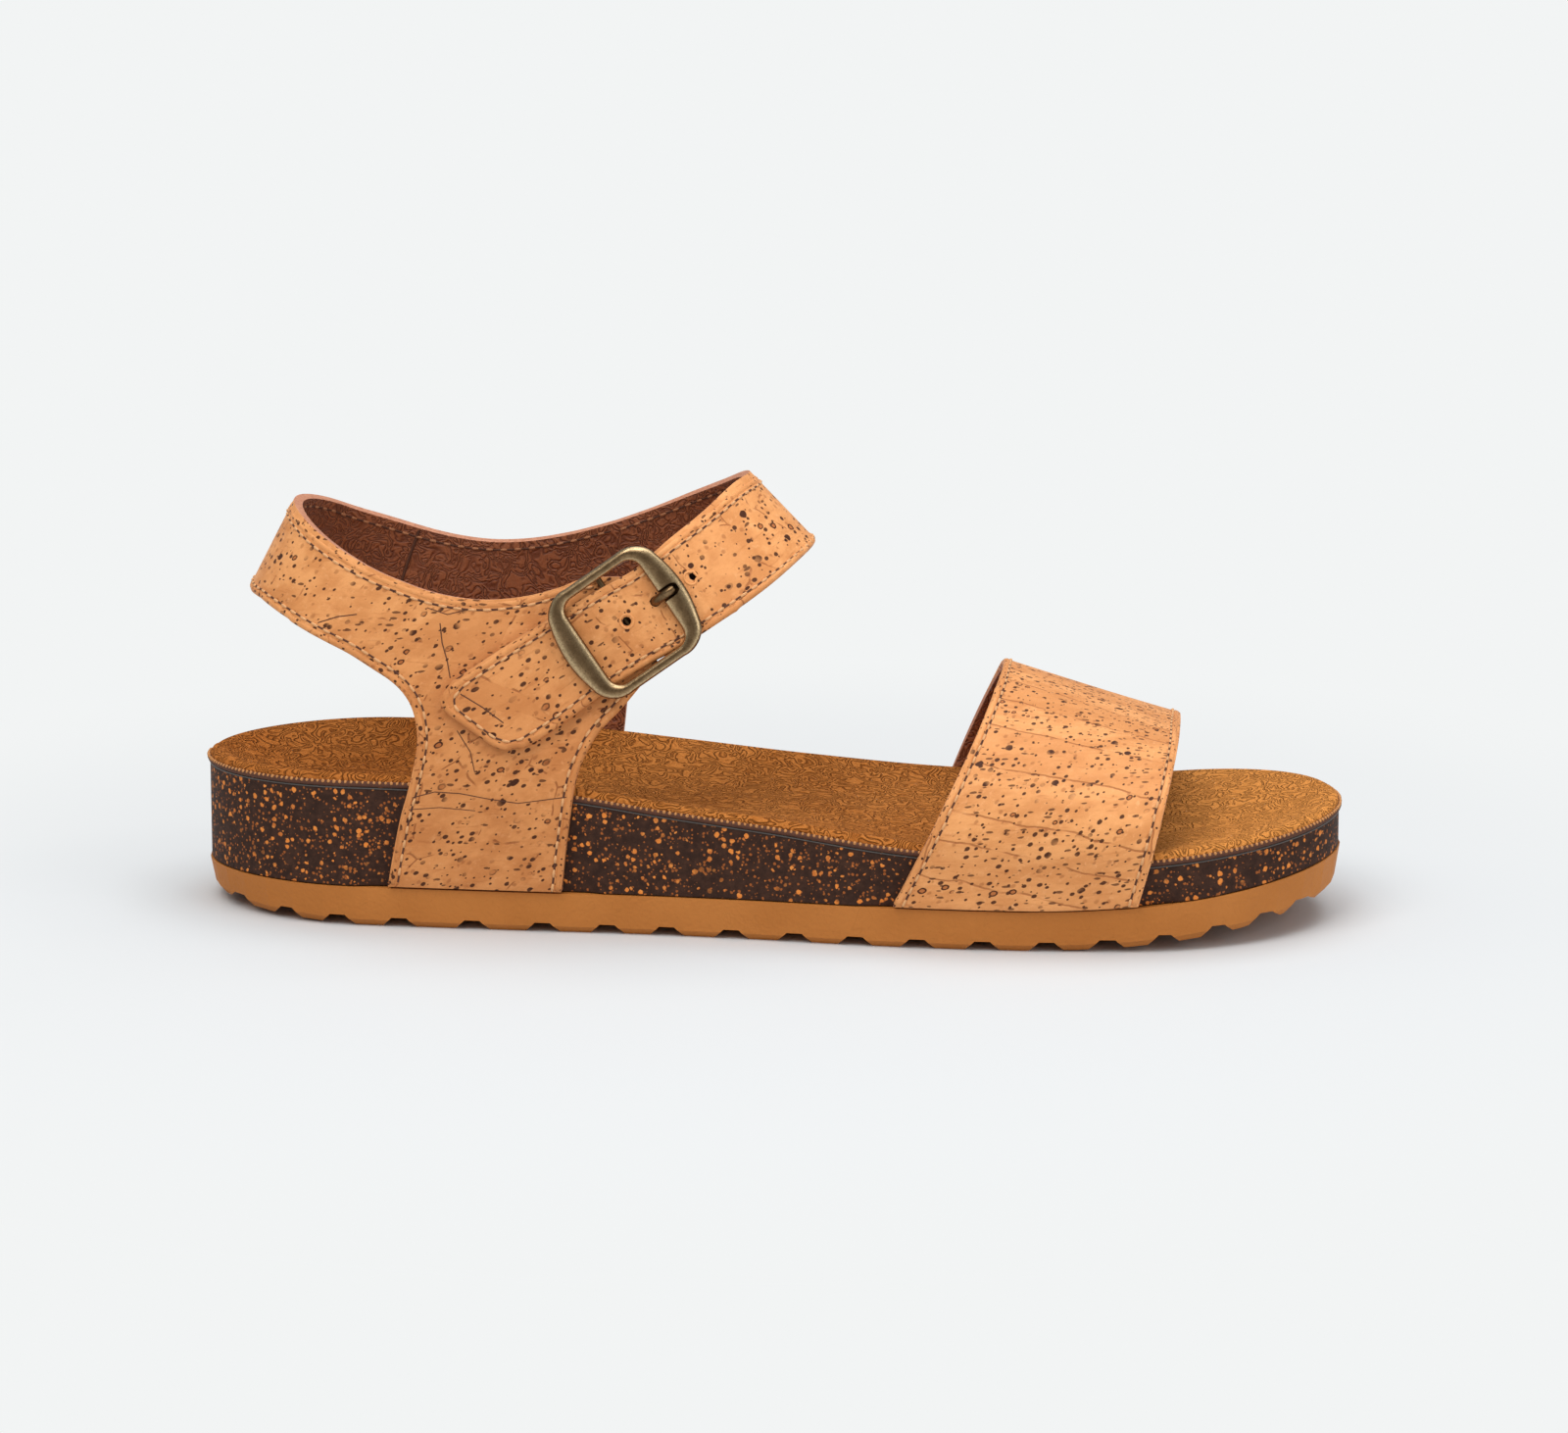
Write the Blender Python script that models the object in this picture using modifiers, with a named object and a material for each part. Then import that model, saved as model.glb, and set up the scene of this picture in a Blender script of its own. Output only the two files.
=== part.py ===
"""Right sandal with a cork footbed: ridged outsole, granulated midsole, suede footbed,
toe strap, ankle upper with heel sling and front strap, and a centre bar buckle.

Tables and constants are in millimetres. x runs from the back of the heel to the toe,
y from the lateral side (negative) to the medial side (positive), z up from the floor.
"""
import math
from collections import namedtuple

import bmesh
import bpy
from mathutils import Vector
from mathutils.geometry import delaunay_2d_cdt

MM = 0.001
LATERAL, MEDIAL = -1, 1
GAP = 0.3

# Sole
SOLE_LENGTH = 256.0
HEEL_ROUND = 38.0
TOE_ROUND = {LATERAL: 46.0, MEDIAL: 36.0}
OUTSOLE_THICK = 9.2
OUTSOLE_DRAFT = 1.1
OUTSOLE_BEVEL = 1.5
TOE_SPRING = 7.6
TOE_THINNING = 0.08
SPRING_START = 188.0
SPRING_POWER = 1.7
HEEL_LIFT = 2.2
HEEL_LIFT_END = 46.0
HEEL_LIFT_POWER = 1.6
GROOVES = (
    9.7, 21.9, 34.0, 48.0, 64.5, 80.3, 94.8, 108.1, 122.5, 136.6, 150.1, 163.8, 178.1, 192.1,
    205.4, 217.8, 229.4, 239.8, 247.6,
)
HEEL_GROOVE_END, TOE_GROOVE_START = 25.0, 210.0
END_GROOVE_SQUEEZE = 0.8
GROOVE_DEPTH = 2.2
GROOVE_MOUTH = 7.8
GROOVE_ROOF = 3.4

# Midsole and footbed
MIDSOLE_FOOT_INSET = 1.5
MIDSOLE_RIM_INSET = 0.4
FOOTBED_EDGE = 2.0
FOOTBED_SKIN = 2.2
RIM_LAND = 3.5
BOWL_POWER = 2.6

# Straps
WALL = 2.2
STRAP_WIDTH = 20.2
BACK_ROUND = 30.0
FRONT_ROUND = 34.0
SLING_LOW = 70.7
SLING_HIGH = 90.2
SLING_BACK_X, SLING_BACK_Z = 14.3, 74.0
SLING_LEAN = 0.52
FRONT_LOW_X, FRONT_LOW_Z = 132.8, 85.0
FRONT_LEAN = 0.978
LEG_BLEND_START, LEG_BLEND_END = 27.0, 62.0
TIP_ROUND = 4.6

# Buckle, in its own plane: along the strap, across it and outward
BUCKLE_X, BUCKLE_Z = 99.3, 69.3
STRAP_SLOPE = math.radians(35.0)
WINDOW_ALONG = 19.6
WINDOW_ACROSS = 22.0
END_BAR_WIDTH = 4.2
END_BAR_BOW = 1.5
SIDE_BAR_WIDTH = 2.4
WINDOW_CORNER = 3.0
FRAME_THICK = 2.4
FRAME_LEVEL = 7.6
FRAME_TILT = 0.055
BAR_RADIUS = 0.7
BAR_LEVEL = 3.2
PRONG_RADIUS = 0.85
PRONG_EYE = 1.6
HOLE_RADIUS = 1.0
HOLE_SPOTS = (0.5, 16.6)
HOLE_FROM, HOLE_TO = 3.0, 9.0

OutlineRow = namedtuple("OutlineRow", "share lateral medial")
OUTLINE_ROWS = (
    OutlineRow(0.00, 30.0, 32.0),
    OutlineRow(0.15, 33.0, 33.5),
    OutlineRow(0.30, 35.0, 33.2),
    OutlineRow(0.40, 36.0, 33.4),
    OutlineRow(0.50, 38.4, 35.4),
    OutlineRow(0.60, 41.8, 39.2),
    OutlineRow(0.70, 43.4, 42.2),
    OutlineRow(0.82, 42.4, 43.4),
    OutlineRow(1.00, 39.6, 42.5),
)

WallRow = namedtuple("WallRow", "share lateral medial bowl")
WALL_ROWS = (
    WallRow(0.00, 22.3, 22.0, 6.5),
    WallRow(0.18, 22.8, 22.2, 7.5),
    WallRow(0.32, 21.5, 20.8, 7.0),
    WallRow(0.42, 18.2, 18.2, 6.0),
    WallRow(0.52, 15.4, 15.0, 4.5),
    WallRow(0.62, 12.3, 12.0, 3.4),
    WallRow(0.74, 10.1, 9.9, 3.0),
    WallRow(0.84, 9.1, 9.1, 3.2),
    WallRow(1.00, 8.5, 8.6, 3.6),
)

AnkleRow = namedtuple("AnkleRow", "height half_width")
ANKLE_ROWS = (
    AnkleRow(30.0, 33.4),
    AnkleRow(45.0, 32.0),
    AnkleRow(60.0, 30.0),
    AnkleRow(77.0, 27.2),
    AnkleRow(101.0, 23.2),
)

# Cut edges of the ankle upper in side view, each from the back of the heel
EdgeRow = namedtuple("EdgeRow", "x z")
LATERAL_REAR = (
    EdgeRow(16.8, 70.6), EdgeRow(21.7, 68.9), EdgeRow(28.4, 66.0), EdgeRow(36.0, 62.5), EdgeRow(42.1, 58.9),
    EdgeRow(47.2, 55.7), EdgeRow(50.4, 52.4), EdgeRow(52.4, 48.4), EdgeRow(53.2, 43.1), EdgeRow(52.6, 38.4),
    EdgeRow(51.2, 32.4), EdgeRow(49.2, 25.5), EdgeRow(47.2, 16.1), EdgeRow(46.1, 9.9),
)
LATERAL_FRONT = (
    EdgeRow(84.9, 9.9), EdgeRow(85.9, 18.8), EdgeRow(87.2, 28.1), EdgeRow(88.4, 35.2), EdgeRow(90.2, 40.7),
    EdgeRow(93.3, 46.2), EdgeRow(98.0, 51.2), EdgeRow(103.0, 57.2),
)
LATERAL_TOP = (
    EdgeRow(92.4, 78.9), EdgeRow(88.6, 78.3), EdgeRow(84.4, 76.6), EdgeRow(78.6, 74.9), EdgeRow(72.6, 73.9),
    EdgeRow(66.7, 73.6), EdgeRow(60.9, 74.1), EdgeRow(55.1, 75.3), EdgeRow(49.2, 77.3), EdgeRow(43.6, 79.5),
    EdgeRow(37.9, 82.2), EdgeRow(31.9, 85.3), EdgeRow(26.0, 88.6),
)
MEDIAL_TOP = (
    EdgeRow(26.0, 88.0), EdgeRow(32.2, 84.3), EdgeRow(39.0, 81.5), EdgeRow(46.2, 79.1), EdgeRow(54.2, 77.3),
    EdgeRow(62.3, 76.5), EdgeRow(70.7, 77.0), EdgeRow(78.9, 78.5), EdgeRow(85.0, 80.1), EdgeRow(90.0, 81.6),
)
MEDIAL_FRONT = (
    EdgeRow(98.7, 63.0), EdgeRow(95.4, 56.2), EdgeRow(93.0, 48.8), EdgeRow(91.6, 39.6), EdgeRow(90.6, 30.9),
    EdgeRow(88.8, 20.0), EdgeRow(87.4, 9.9),
)
MEDIAL_REAR = (
    EdgeRow(46.5, 9.9), EdgeRow(48.4, 21.0), EdgeRow(50.6, 29.6), EdgeRow(52.5, 36.4), EdgeRow(53.4, 43.1),
    EdgeRow(52.6, 48.5), EdgeRow(50.6, 52.7), EdgeRow(47.2, 56.2), EdgeRow(42.1, 59.5), EdgeRow(36.0, 62.9),
    EdgeRow(28.4, 66.6), EdgeRow(21.7, 69.3), EdgeRow(16.8, 70.7),
)

# Front strap, a row for each cross section from the medial quarter to the free tip; lift is the
# distance of its inner face outside the foot's form
StrapRow = namedtuple("StrapRow", "side top_x top_z bottom_x bottom_z lift")
STRAP_ROWS = (
    StrapRow(MEDIAL, 98.8, 84.9, 107.8, 66.5, 0.0),
    StrapRow(MEDIAL, 107.4, 88.6, 117.6, 70.8, 0.0),
    StrapRow(MEDIAL, 114.8, 92.2, 126.6, 75.4, 0.0),
    StrapRow(MEDIAL, 119.6, 95.2, 133.0, 79.7, 0.0),
    StrapRow(MEDIAL, 121.6, 96.6, 136.2, 81.6, 0.0),
    StrapRow(LATERAL, 119.0, 95.8, 134.0, 80.2, 0.0),
    StrapRow(LATERAL, 112.8, 91.5, 127.5, 76.4, 1.8),
    StrapRow(LATERAL, 106.7, 87.1, 119.0, 70.8, 3.9),
    StrapRow(LATERAL, 101.2, 81.6, 112.2, 65.8, 4.9),
    StrapRow(LATERAL, 93.7, 77.3, 104.6, 61.7, 5.05),
    StrapRow(LATERAL, 84.2, 71.3, 94.6, 55.0, 3.1),
    StrapRow(LATERAL, 73.0, 64.3, 84.6, 47.5, 2.5),
    StrapRow(LATERAL, 55.6, 52.6, 74.0, 40.8, 2.5),
)

# Toe strap: back edge and front edge
ToeRow = namedtuple("ToeRow", "lateral_x medial_x top_x top_z fullness")
TOE_BACK = ToeRow(158.7, 161.5, 179.7, 52.9, 2.0)
TOE_FRONT = ToeRow(211.5, 215.0, 219.1, 41.9, 2.5)
TOE_BASE_Z = 9.9


def clear_scene():
    for item in list(bpy.data.objects):
        bpy.data.objects.remove(item, do_unlink=True)


def new_collection(name):
    group = bpy.data.collections.new(name)
    bpy.context.scene.collection.children.link(group)
    return group


def make_material(name, colour, roughness, metallic=0.0):
    material = bpy.data.materials.new(name)
    material.use_nodes = True
    shader = material.node_tree.nodes["Principled BSDF"]
    shader.inputs["Base Color"].default_value = (*colour, 1.0)
    shader.inputs["Roughness"].default_value = roughness
    shader.inputs["Metallic"].default_value = metallic
    return material


def place(x, y, z):
    """Turn shoe millimetres into metres about the middle of the sole."""
    return Vector(((x - SOLE_LENGTH / 2) * MM, y * MM, z * MM))


def add_object(name, mesh_source, material, group, root, smooth_angle=None):
    """Make a named object from a bmesh, with its material."""
    mesh = bpy.data.meshes.new(name)
    mesh_source.to_mesh(mesh)
    mesh_source.free()
    mesh.materials.append(material)
    if smooth_angle is not None:
        mesh.shade_smooth()
        mesh.set_sharp_from_angle(angle=math.radians(smooth_angle))
    item = bpy.data.objects.new(name, mesh)
    group.objects.link(item)
    item.parent = root
    return item


def table_value(rows, key, column):
    """Smooth value of a table column; the first column of the table is the key."""
    keys = [row[0] for row in rows]
    values = [getattr(row, column) for row in rows]
    if key <= keys[0]:
        return values[0]
    if key >= keys[-1]:
        return values[-1]
    low = max(k for k in range(len(keys) - 1) if keys[k] <= key)

    def slope(k):
        before, after = max(k - 1, 0), min(k + 1, len(keys) - 1)
        return (values[after] - values[before]) / (keys[after] - keys[before])

    span = keys[low + 1] - keys[low]
    t = (key - keys[low]) / span
    return (
        values[low] * (2 * t**3 - 3 * t**2 + 1)
        + slope(low) * span * (t**3 - 2 * t**2 + t)
        + values[low + 1] * (3 * t**2 - 2 * t**3)
        + slope(low + 1) * span * (t**3 - t**2)
    )


def smooth_step(value):
    t = min(max(value, 0.0), 1.0)
    return t * t * (3 - 2 * t)


def spline_points(points, pieces):
    """Catmull-Rom curve through points, with a number of pieces in each span."""
    points = [Vector(p) for p in points]
    padded = [2 * points[0] - points[1]] + points + [2 * points[-1] - points[-2]]
    curve = []
    for k in range(len(points) - 1):
        a, b, c, d = padded[k:k + 4]
        for step in range(pieces):
            t = step / pieces
            curve.append(
                b + (c - a) * (t / 2) + (2 * a - 5 * b + 4 * c - d) * (t * t / 2)
                + (3 * b - a - 3 * c + d) * (t**3 / 2)
            )
    curve.append(points[-1])
    return curve


def side_name(side):
    return "lateral" if side == LATERAL else "medial"


def half_width(x, side):
    """Half width of the sole's outline at x, rounded at the heel and the toe."""
    width = table_value(OUTLINE_ROWS, x / SOLE_LENGTH, side_name(side))
    lag = 0.0
    if x < HEEL_ROUND:
        lag = 1 - x / HEEL_ROUND
    elif x > SOLE_LENGTH - TOE_ROUND[side]:
        lag = 1 - (SOLE_LENGTH - x) / TOE_ROUND[side]
    return width * math.sqrt(max(0.0, 1 - lag * lag))


def tread_height(x):
    """Height of the tread above the floor: heel lift, flat and toe spring."""
    if x < HEEL_LIFT_END:
        return HEEL_LIFT * ((HEEL_LIFT_END - x) / HEEL_LIFT_END) ** HEEL_LIFT_POWER
    if x > SPRING_START:
        return TOE_SPRING * ((x - SPRING_START) / (SOLE_LENGTH - SPRING_START)) ** SPRING_POWER
    return 0.0


def outsole_top(x):
    return OUTSOLE_THICK + (1 - TOE_THINNING) * tread_height(max(x, HEEL_LIFT_END))


def rim_height(x, side):
    """Height of the midsole's top edge."""
    return outsole_top(x) + table_value(WALL_ROWS, x / SOLE_LENGTH, side_name(side))


def station_list():
    """Stations along the sole, close together where the ends curve in."""
    end_steps, middle_steps = 8, 15
    heel = [HEEL_ROUND * (1 - math.cos(math.pi / 2 * k / end_steps)) for k in range(end_steps + 1)]
    toe = TOE_ROUND[LATERAL]
    front = [SOLE_LENGTH - toe * (1 - math.cos(math.pi / 2 * k / end_steps)) for k in range(end_steps, -1, -1)]
    middle = [heel[-1] + (front[0] - heel[-1]) * k / middle_steps for k in range(1, middle_steps)]
    return heel + middle + front


def outline_ring(inset):
    """Outline points in order heel, lateral side, toe, medial side, moved inward by inset."""
    stations = station_list()
    ring = [(x, LATERAL, -half_width(x, LATERAL)) for x in stations]
    ring += [(x, MEDIAL, half_width(x, MEDIAL)) for x in reversed(stations[1:-1])]
    count = len(ring)
    moved = []
    for k, (x, side, y) in enumerate(ring):
        before, after = ring[k - 1], ring[(k + 1) % count]
        along = Vector((after[0] - before[0], after[2] - before[2])).normalized()
        moved.append((x - along.y * inset, y + along.x * inset, side))
    return moved


def ring_pairs(count):
    """Index pairs of lateral and medial points at one station, between the heel and toe points."""
    return [(k, count - k) for k in range(1, count // 2)]


def paired_loft(rings):
    """Closed solid through rings of equal count, with flat-laid strips as its two caps."""
    solid = bmesh.new()
    levels = [[solid.verts.new(place(*point)) for point in ring] for ring in rings]
    count = len(rings[0])
    for lower, upper in zip(levels, levels[1:]):
        for k in range(count):
            after = (k + 1) % count
            solid.faces.new((lower[k], lower[after], upper[after], upper[k]))
    for level, upward in ((levels[0], False), (levels[-1], True)):
        pairs = ring_pairs(count)
        strips = [(0, pairs[0][0], pairs[0][1])]
        strips += [(a[0], b[0], b[1], a[1]) for a, b in zip(pairs, pairs[1:])]
        strips.append((pairs[-1][0], count // 2, pairs[-1][1]))
        for strip in strips:
            corners = [level[k] for k in strip]
            solid.faces.new(corners if upward else corners[::-1])
    return solid


def build_outsole(group, cutters, root, material):
    """Rubber slab with toe spring, cut across by the grooves between its lugs."""
    rings = [
        [(x, y, tread_height(x)) for x, y, side in outline_ring(OUTSOLE_DRAFT + OUTSOLE_BEVEL)],
        [(x, y, tread_height(x) + OUTSOLE_BEVEL) for x, y, side in outline_ring(OUTSOLE_DRAFT)],
        [(x, y, outsole_top(x)) for x, y, side in outline_ring(0.0)],
    ]
    outsole = add_object("outsole", paired_loft(rings), material, group, root, smooth_angle=35)
    cutter_mesh = bmesh.new()
    reach = 60.0
    below = 4.0
    flare = (GROOVE_MOUTH - GROOVE_ROOF) / 2
    for centre in GROOVES:
        floor = tread_height(centre)
        squeeze = 1.0 if HEEL_GROOVE_END < centre < TOE_GROOVE_START else END_GROOVE_SQUEEZE
        mouth = squeeze * GROOVE_MOUTH / 2 + flare * below / GROOVE_DEPTH
        roof = squeeze * GROOVE_ROOF / 2
        corners = ((-mouth, -below), (mouth, -below), (roof, GROOVE_DEPTH), (-roof, GROOVE_DEPTH))
        lateral = [cutter_mesh.verts.new(place(centre + dx, -reach, floor + dz)) for dx, dz in corners]
        medial = [cutter_mesh.verts.new(place(centre + dx, reach, floor + dz)) for dx, dz in corners]
        cutter_mesh.faces.new(lateral)
        cutter_mesh.faces.new(medial[::-1])
        for k in range(4):
            after = (k + 1) % 4
            cutter_mesh.faces.new((lateral[after], lateral[k], medial[k], medial[after]))
    cutter = add_object("groove_cutter", cutter_mesh, material, cutters, root)
    hide_cutter(cutter)
    add_cut(outsole, cutter)
    return outsole


def hide_cutter(cutter):
    cutter.hide_render = True
    cutter.display_type = "WIRE"


def add_cut(target, cutter, operation="DIFFERENCE"):
    cut = target.modifiers.new(cutter.name, "BOOLEAN")
    cut.operation = operation
    cut.solver = "EXACT"
    cut.object = cutter


def bowl_depth(x, share):
    """Depth of the foot's hollow below the rim; share is 1 at the edge and 0 in the middle."""
    return table_value(WALL_ROWS, x / SOLE_LENGTH, "bowl") * (1 - share**BOWL_POWER)


def bowl_ring(share, edge_inset, raise_by):
    """Ring of the dished top, at a share of the way from the spine to the edge."""
    ring = []
    spine_start, spine_end = HEEL_ROUND * 0.8, SOLE_LENGTH - TOE_ROUND[MEDIAL]
    for x, y, side in outline_ring(edge_inset):
        spine_x = spine_start + (spine_end - spine_start) * x / SOLE_LENGTH
        ring_x = spine_x + (x - spine_x) * share
        height = rim_height(x, side) * share + rim_height(ring_x, side) * (1 - share)
        middle = (rim_height(ring_x, LATERAL) + rim_height(ring_x, MEDIAL)) / 2
        across = min(1.0, abs(y * share) / 30.0)
        height = middle + (height - middle) * smooth_step(across)
        ring.append((ring_x, y * share, height - bowl_depth(ring_x, share) + raise_by))
    return ring


BOWL_SHARES = (0.97, 0.88, 0.74, 0.52, 0.26)


def build_midsole(group, root, material):
    """Granulated wall, highest at the heel, dished under the footbed."""
    rings = [
        [(x, y, outsole_top(x) + GAP) for x, y, side in outline_ring(MIDSOLE_FOOT_INSET)],
        [(x, y, rim_height(x, side)) for x, y, side in outline_ring(MIDSOLE_RIM_INSET)],
    ]
    rings += [bowl_ring(share, MIDSOLE_RIM_INSET, 0.0) for share in BOWL_SHARES]
    return add_object("midsole", paired_loft(rings), material, group, root, smooth_angle=40)


def build_footbed(group, root, material):
    """Suede skin over the midsole, with a rounded lip."""
    rings = [bowl_ring(share, MIDSOLE_RIM_INSET, GAP) for share in reversed(BOWL_SHARES)]
    lip = (
        (0.9, GAP),
        (MIDSOLE_RIM_INSET + 0.1, GAP + 0.7),
        (0.9, FOOTBED_EDGE),
        (2.4, FOOTBED_EDGE + 0.7),
    )
    for inset, height in lip:
        rings.append([(x, y, rim_height(x, side) + height) for x, y, side in outline_ring(inset)])
    rings += [bowl_ring(share, RIM_LAND, GAP + FOOTBED_SKIN) for share in BOWL_SHARES]
    return add_object("footbed", paired_loft(rings), material, group, root, smooth_angle=60)


def back_x(z):
    """Inner face of the heel sling on the middle line."""
    return SLING_BACK_X + SLING_LEAN * (z - SLING_BACK_Z)


def front_x(z):
    """Inner face of the front strap on the middle line."""
    return FRONT_LOW_X - FRONT_LEAN * (z - FRONT_LOW_Z)


def flank_y(x, z, side):
    """Distance from the middle line to the inner face of the ankle upper."""
    lag = 0.0
    if x < back_x(z) + BACK_ROUND:
        lag = min(1.0, 1 - (x - back_x(z)) / BACK_ROUND)
    elif x > front_x(z) - FRONT_ROUND:
        lag = min(1.0, 1 - (front_x(z) - x) / FRONT_ROUND)
    loop = table_value(ANKLE_ROWS, z, "half_width") * math.sqrt(max(0.0, 1 - lag * lag))
    up_wall = min(1.0, max(0.0, (z - OUTSOLE_THICK) / (rim_height(x, side) - OUTSOLE_THICK)))
    inset = MIDSOLE_FOOT_INSET + (MIDSOLE_RIM_INSET - MIDSOLE_FOOT_INSET) * up_wall
    wall = half_width(min(max(x, 0.0), SOLE_LENGTH), side) - inset + GAP
    blend = smooth_step((z - LEG_BLEND_START) / (LEG_BLEND_END - LEG_BLEND_START))
    return wall * (1 - blend) + loop * blend


def pattern_from_side(x, z, side):
    """Flat pattern coordinates of a side view point: distance round the heel, height."""
    quarter = heel_quarter_length()
    start = back_x(z)
    if x >= start + BACK_ROUND:
        return Vector((side * (quarter + x - start - BACK_ROUND), z))
    angle = math.acos(min(1.0, 1 - (x - start) / BACK_ROUND))
    return Vector((side * quarter * angle / (math.pi / 2), z))


def heel_quarter_length():
    """Length of the quarter ellipse round one half of the heel."""
    width = ANKLE_ROWS[3].half_width
    return math.pi / 2 * math.sqrt((BACK_ROUND**2 + width**2) / 2)


def ankle_point(round_heel, z):
    """Shoe position of a flat pattern point."""
    quarter = heel_quarter_length()
    side = LATERAL if round_heel < 0 else MEDIAL
    distance = abs(round_heel)
    if distance >= quarter:
        x = back_x(z) + BACK_ROUND + distance - quarter
        return Vector((x, side * flank_y(x, z, side), z))
    angle = math.pi / 2 * distance / quarter
    x = back_x(z) + BACK_ROUND * (1 - math.cos(angle))
    y = table_value(ANKLE_ROWS, z, "half_width") * math.sin(angle)
    return Vector((x, side * y, z))


def edge_curve(rows, side, pieces=2):
    """Pattern points along a cut edge given in side view."""
    flat = spline_points([(row.x, row.z, 0.0) for row in rows], pieces)
    return [pattern_from_side(point.x, point.y, side) for point in flat]


def buckle_axes():
    """Centre of the buckle on the foot's form, and its directions along, across and outward."""
    along_side = Vector((math.cos(STRAP_SLOPE), math.sin(STRAP_SLOPE)))

    def on_form(s, a):
        x = BUCKLE_X + along_side.x * s - along_side.y * a
        z = BUCKLE_Z + along_side.y * s + along_side.x * a
        return Vector((x, -flank_y(x, z, LATERAL), z))

    reach = 9.0
    along = (on_form(reach, 0) - on_form(-reach, 0)).normalized()
    across = (on_form(0, reach) - on_form(0, -reach)).normalized()
    outward = along.cross(across).normalized()
    if outward.y > 0:
        outward = -outward
    across = (across - along * across.dot(along)).normalized()
    return on_form(0, 0), along, across, outward


def tab_edge():
    """Lateral quarter's tab under the centre bar, with the slot for the prong's eye."""
    end, half = 4.0, STRAP_WIDTH / 2 - 1.0
    slot_back, slot_half = -2.4, 2.0
    corners = (
        (end, -half), (end, -slot_half), (slot_back, -slot_half), (slot_back, slot_half),
        (end, slot_half), (end, half),
    )
    points = []
    for s, a in corners:
        x = BUCKLE_X + math.cos(STRAP_SLOPE) * s - math.sin(STRAP_SLOPE) * a
        z = BUCKLE_Z + math.sin(STRAP_SLOPE) * s + math.cos(STRAP_SLOPE) * a
        points.append(pattern_from_side(x, z, LATERAL))
    return points


def strap_section(row, steps):
    """Inner face points of one cross section of the front strap, bottom to top."""
    points = []
    for k in range(steps + 1):
        share = k / steps
        x = row.bottom_x + (row.top_x - row.bottom_x) * share
        z = row.bottom_z + (row.top_z - row.bottom_z) * share
        inward = Vector((x, row.side * flank_y(x, z, row.side), z))
        points.append(inward + form_normal(inward, row.side) * row.lift)
    return points


def form_normal(point, side):
    """Outward direction of the foot's form near a point of the loop."""
    centre = Vector(((back_x(point.z) + front_x(point.z)) / 2, 0.0, point.z))
    reach_x = (front_x(point.z) - back_x(point.z)) / 2
    offset = point - centre
    flat_part = max(0.0, abs(offset.x) - (reach_x - FRONT_ROUND))
    lean = math.copysign(flat_part / FRONT_ROUND**2, offset.x)
    width = table_value(ANKLE_ROWS, point.z, "half_width")
    normal = Vector((lean, offset.y / width**2, 0.0))
    if normal.length == 0.0:
        normal = Vector((0.0, side, 0.0))
    return normal.normalized()


STRAP_STEPS = 4
JUNCTION_STEPS = 4


def build_ankle_upper(group, cutters, root, material):
    """Quarters, heel sling and front strap as one open surface with a solid wall."""
    junction_top, junction_bottom = MEDIAL_TOP[-1], MEDIAL_FRONT[0]
    junction = []
    for k in range(1, JUNCTION_STEPS):
        share = k / JUNCTION_STEPS
        x = junction_top.x + (junction_bottom.x - junction_top.x) * share
        z = junction_top.z + (junction_bottom.z - junction_top.z) * share
        junction.append(pattern_from_side(x, z, MEDIAL))
    outline = [Vector((0.0, SLING_LOW))]
    outline += edge_curve(LATERAL_REAR, LATERAL)
    outline += straight_steps(LATERAL_REAR[-1], LATERAL_FRONT[0], LATERAL, 6)
    outline += edge_curve(LATERAL_FRONT, LATERAL)
    outline += tab_edge()
    outline += edge_curve(LATERAL_TOP, LATERAL)
    outline += [Vector((0.0, SLING_HIGH))]
    outline += edge_curve(MEDIAL_TOP, MEDIAL)
    outline += junction
    outline += edge_curve(MEDIAL_FRONT, MEDIAL)
    outline += straight_steps(MEDIAL_FRONT[-1], MEDIAL_REAR[0], MEDIAL, 6)
    outline += edge_curve(MEDIAL_REAR, MEDIAL)
    sheet = pattern_sheet(outline, spacing=7.0)
    add_front_strap(sheet)
    bmesh.ops.remove_doubles(sheet, verts=sheet.verts, dist=0.02 * MM)
    bmesh.ops.recalc_face_normals(sheet, faces=sheet.faces)
    face_away(sheet)
    upper = add_object("ankle_upper", sheet, material, group, root, smooth_angle=40)
    wall = upper.modifiers.new("wall", "SOLIDIFY")
    wall.thickness = WALL * MM
    wall.offset = 1.0
    return upper


def straight_steps(start, end, side, steps):
    """Points between two edge rows, without its ends."""
    points = []
    for k in range(1, steps):
        share = k / steps
        points.append(pattern_from_side(
            start.x + (end.x - start.x) * share, start.z + (end.z - start.z) * share, side))
    return points


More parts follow.
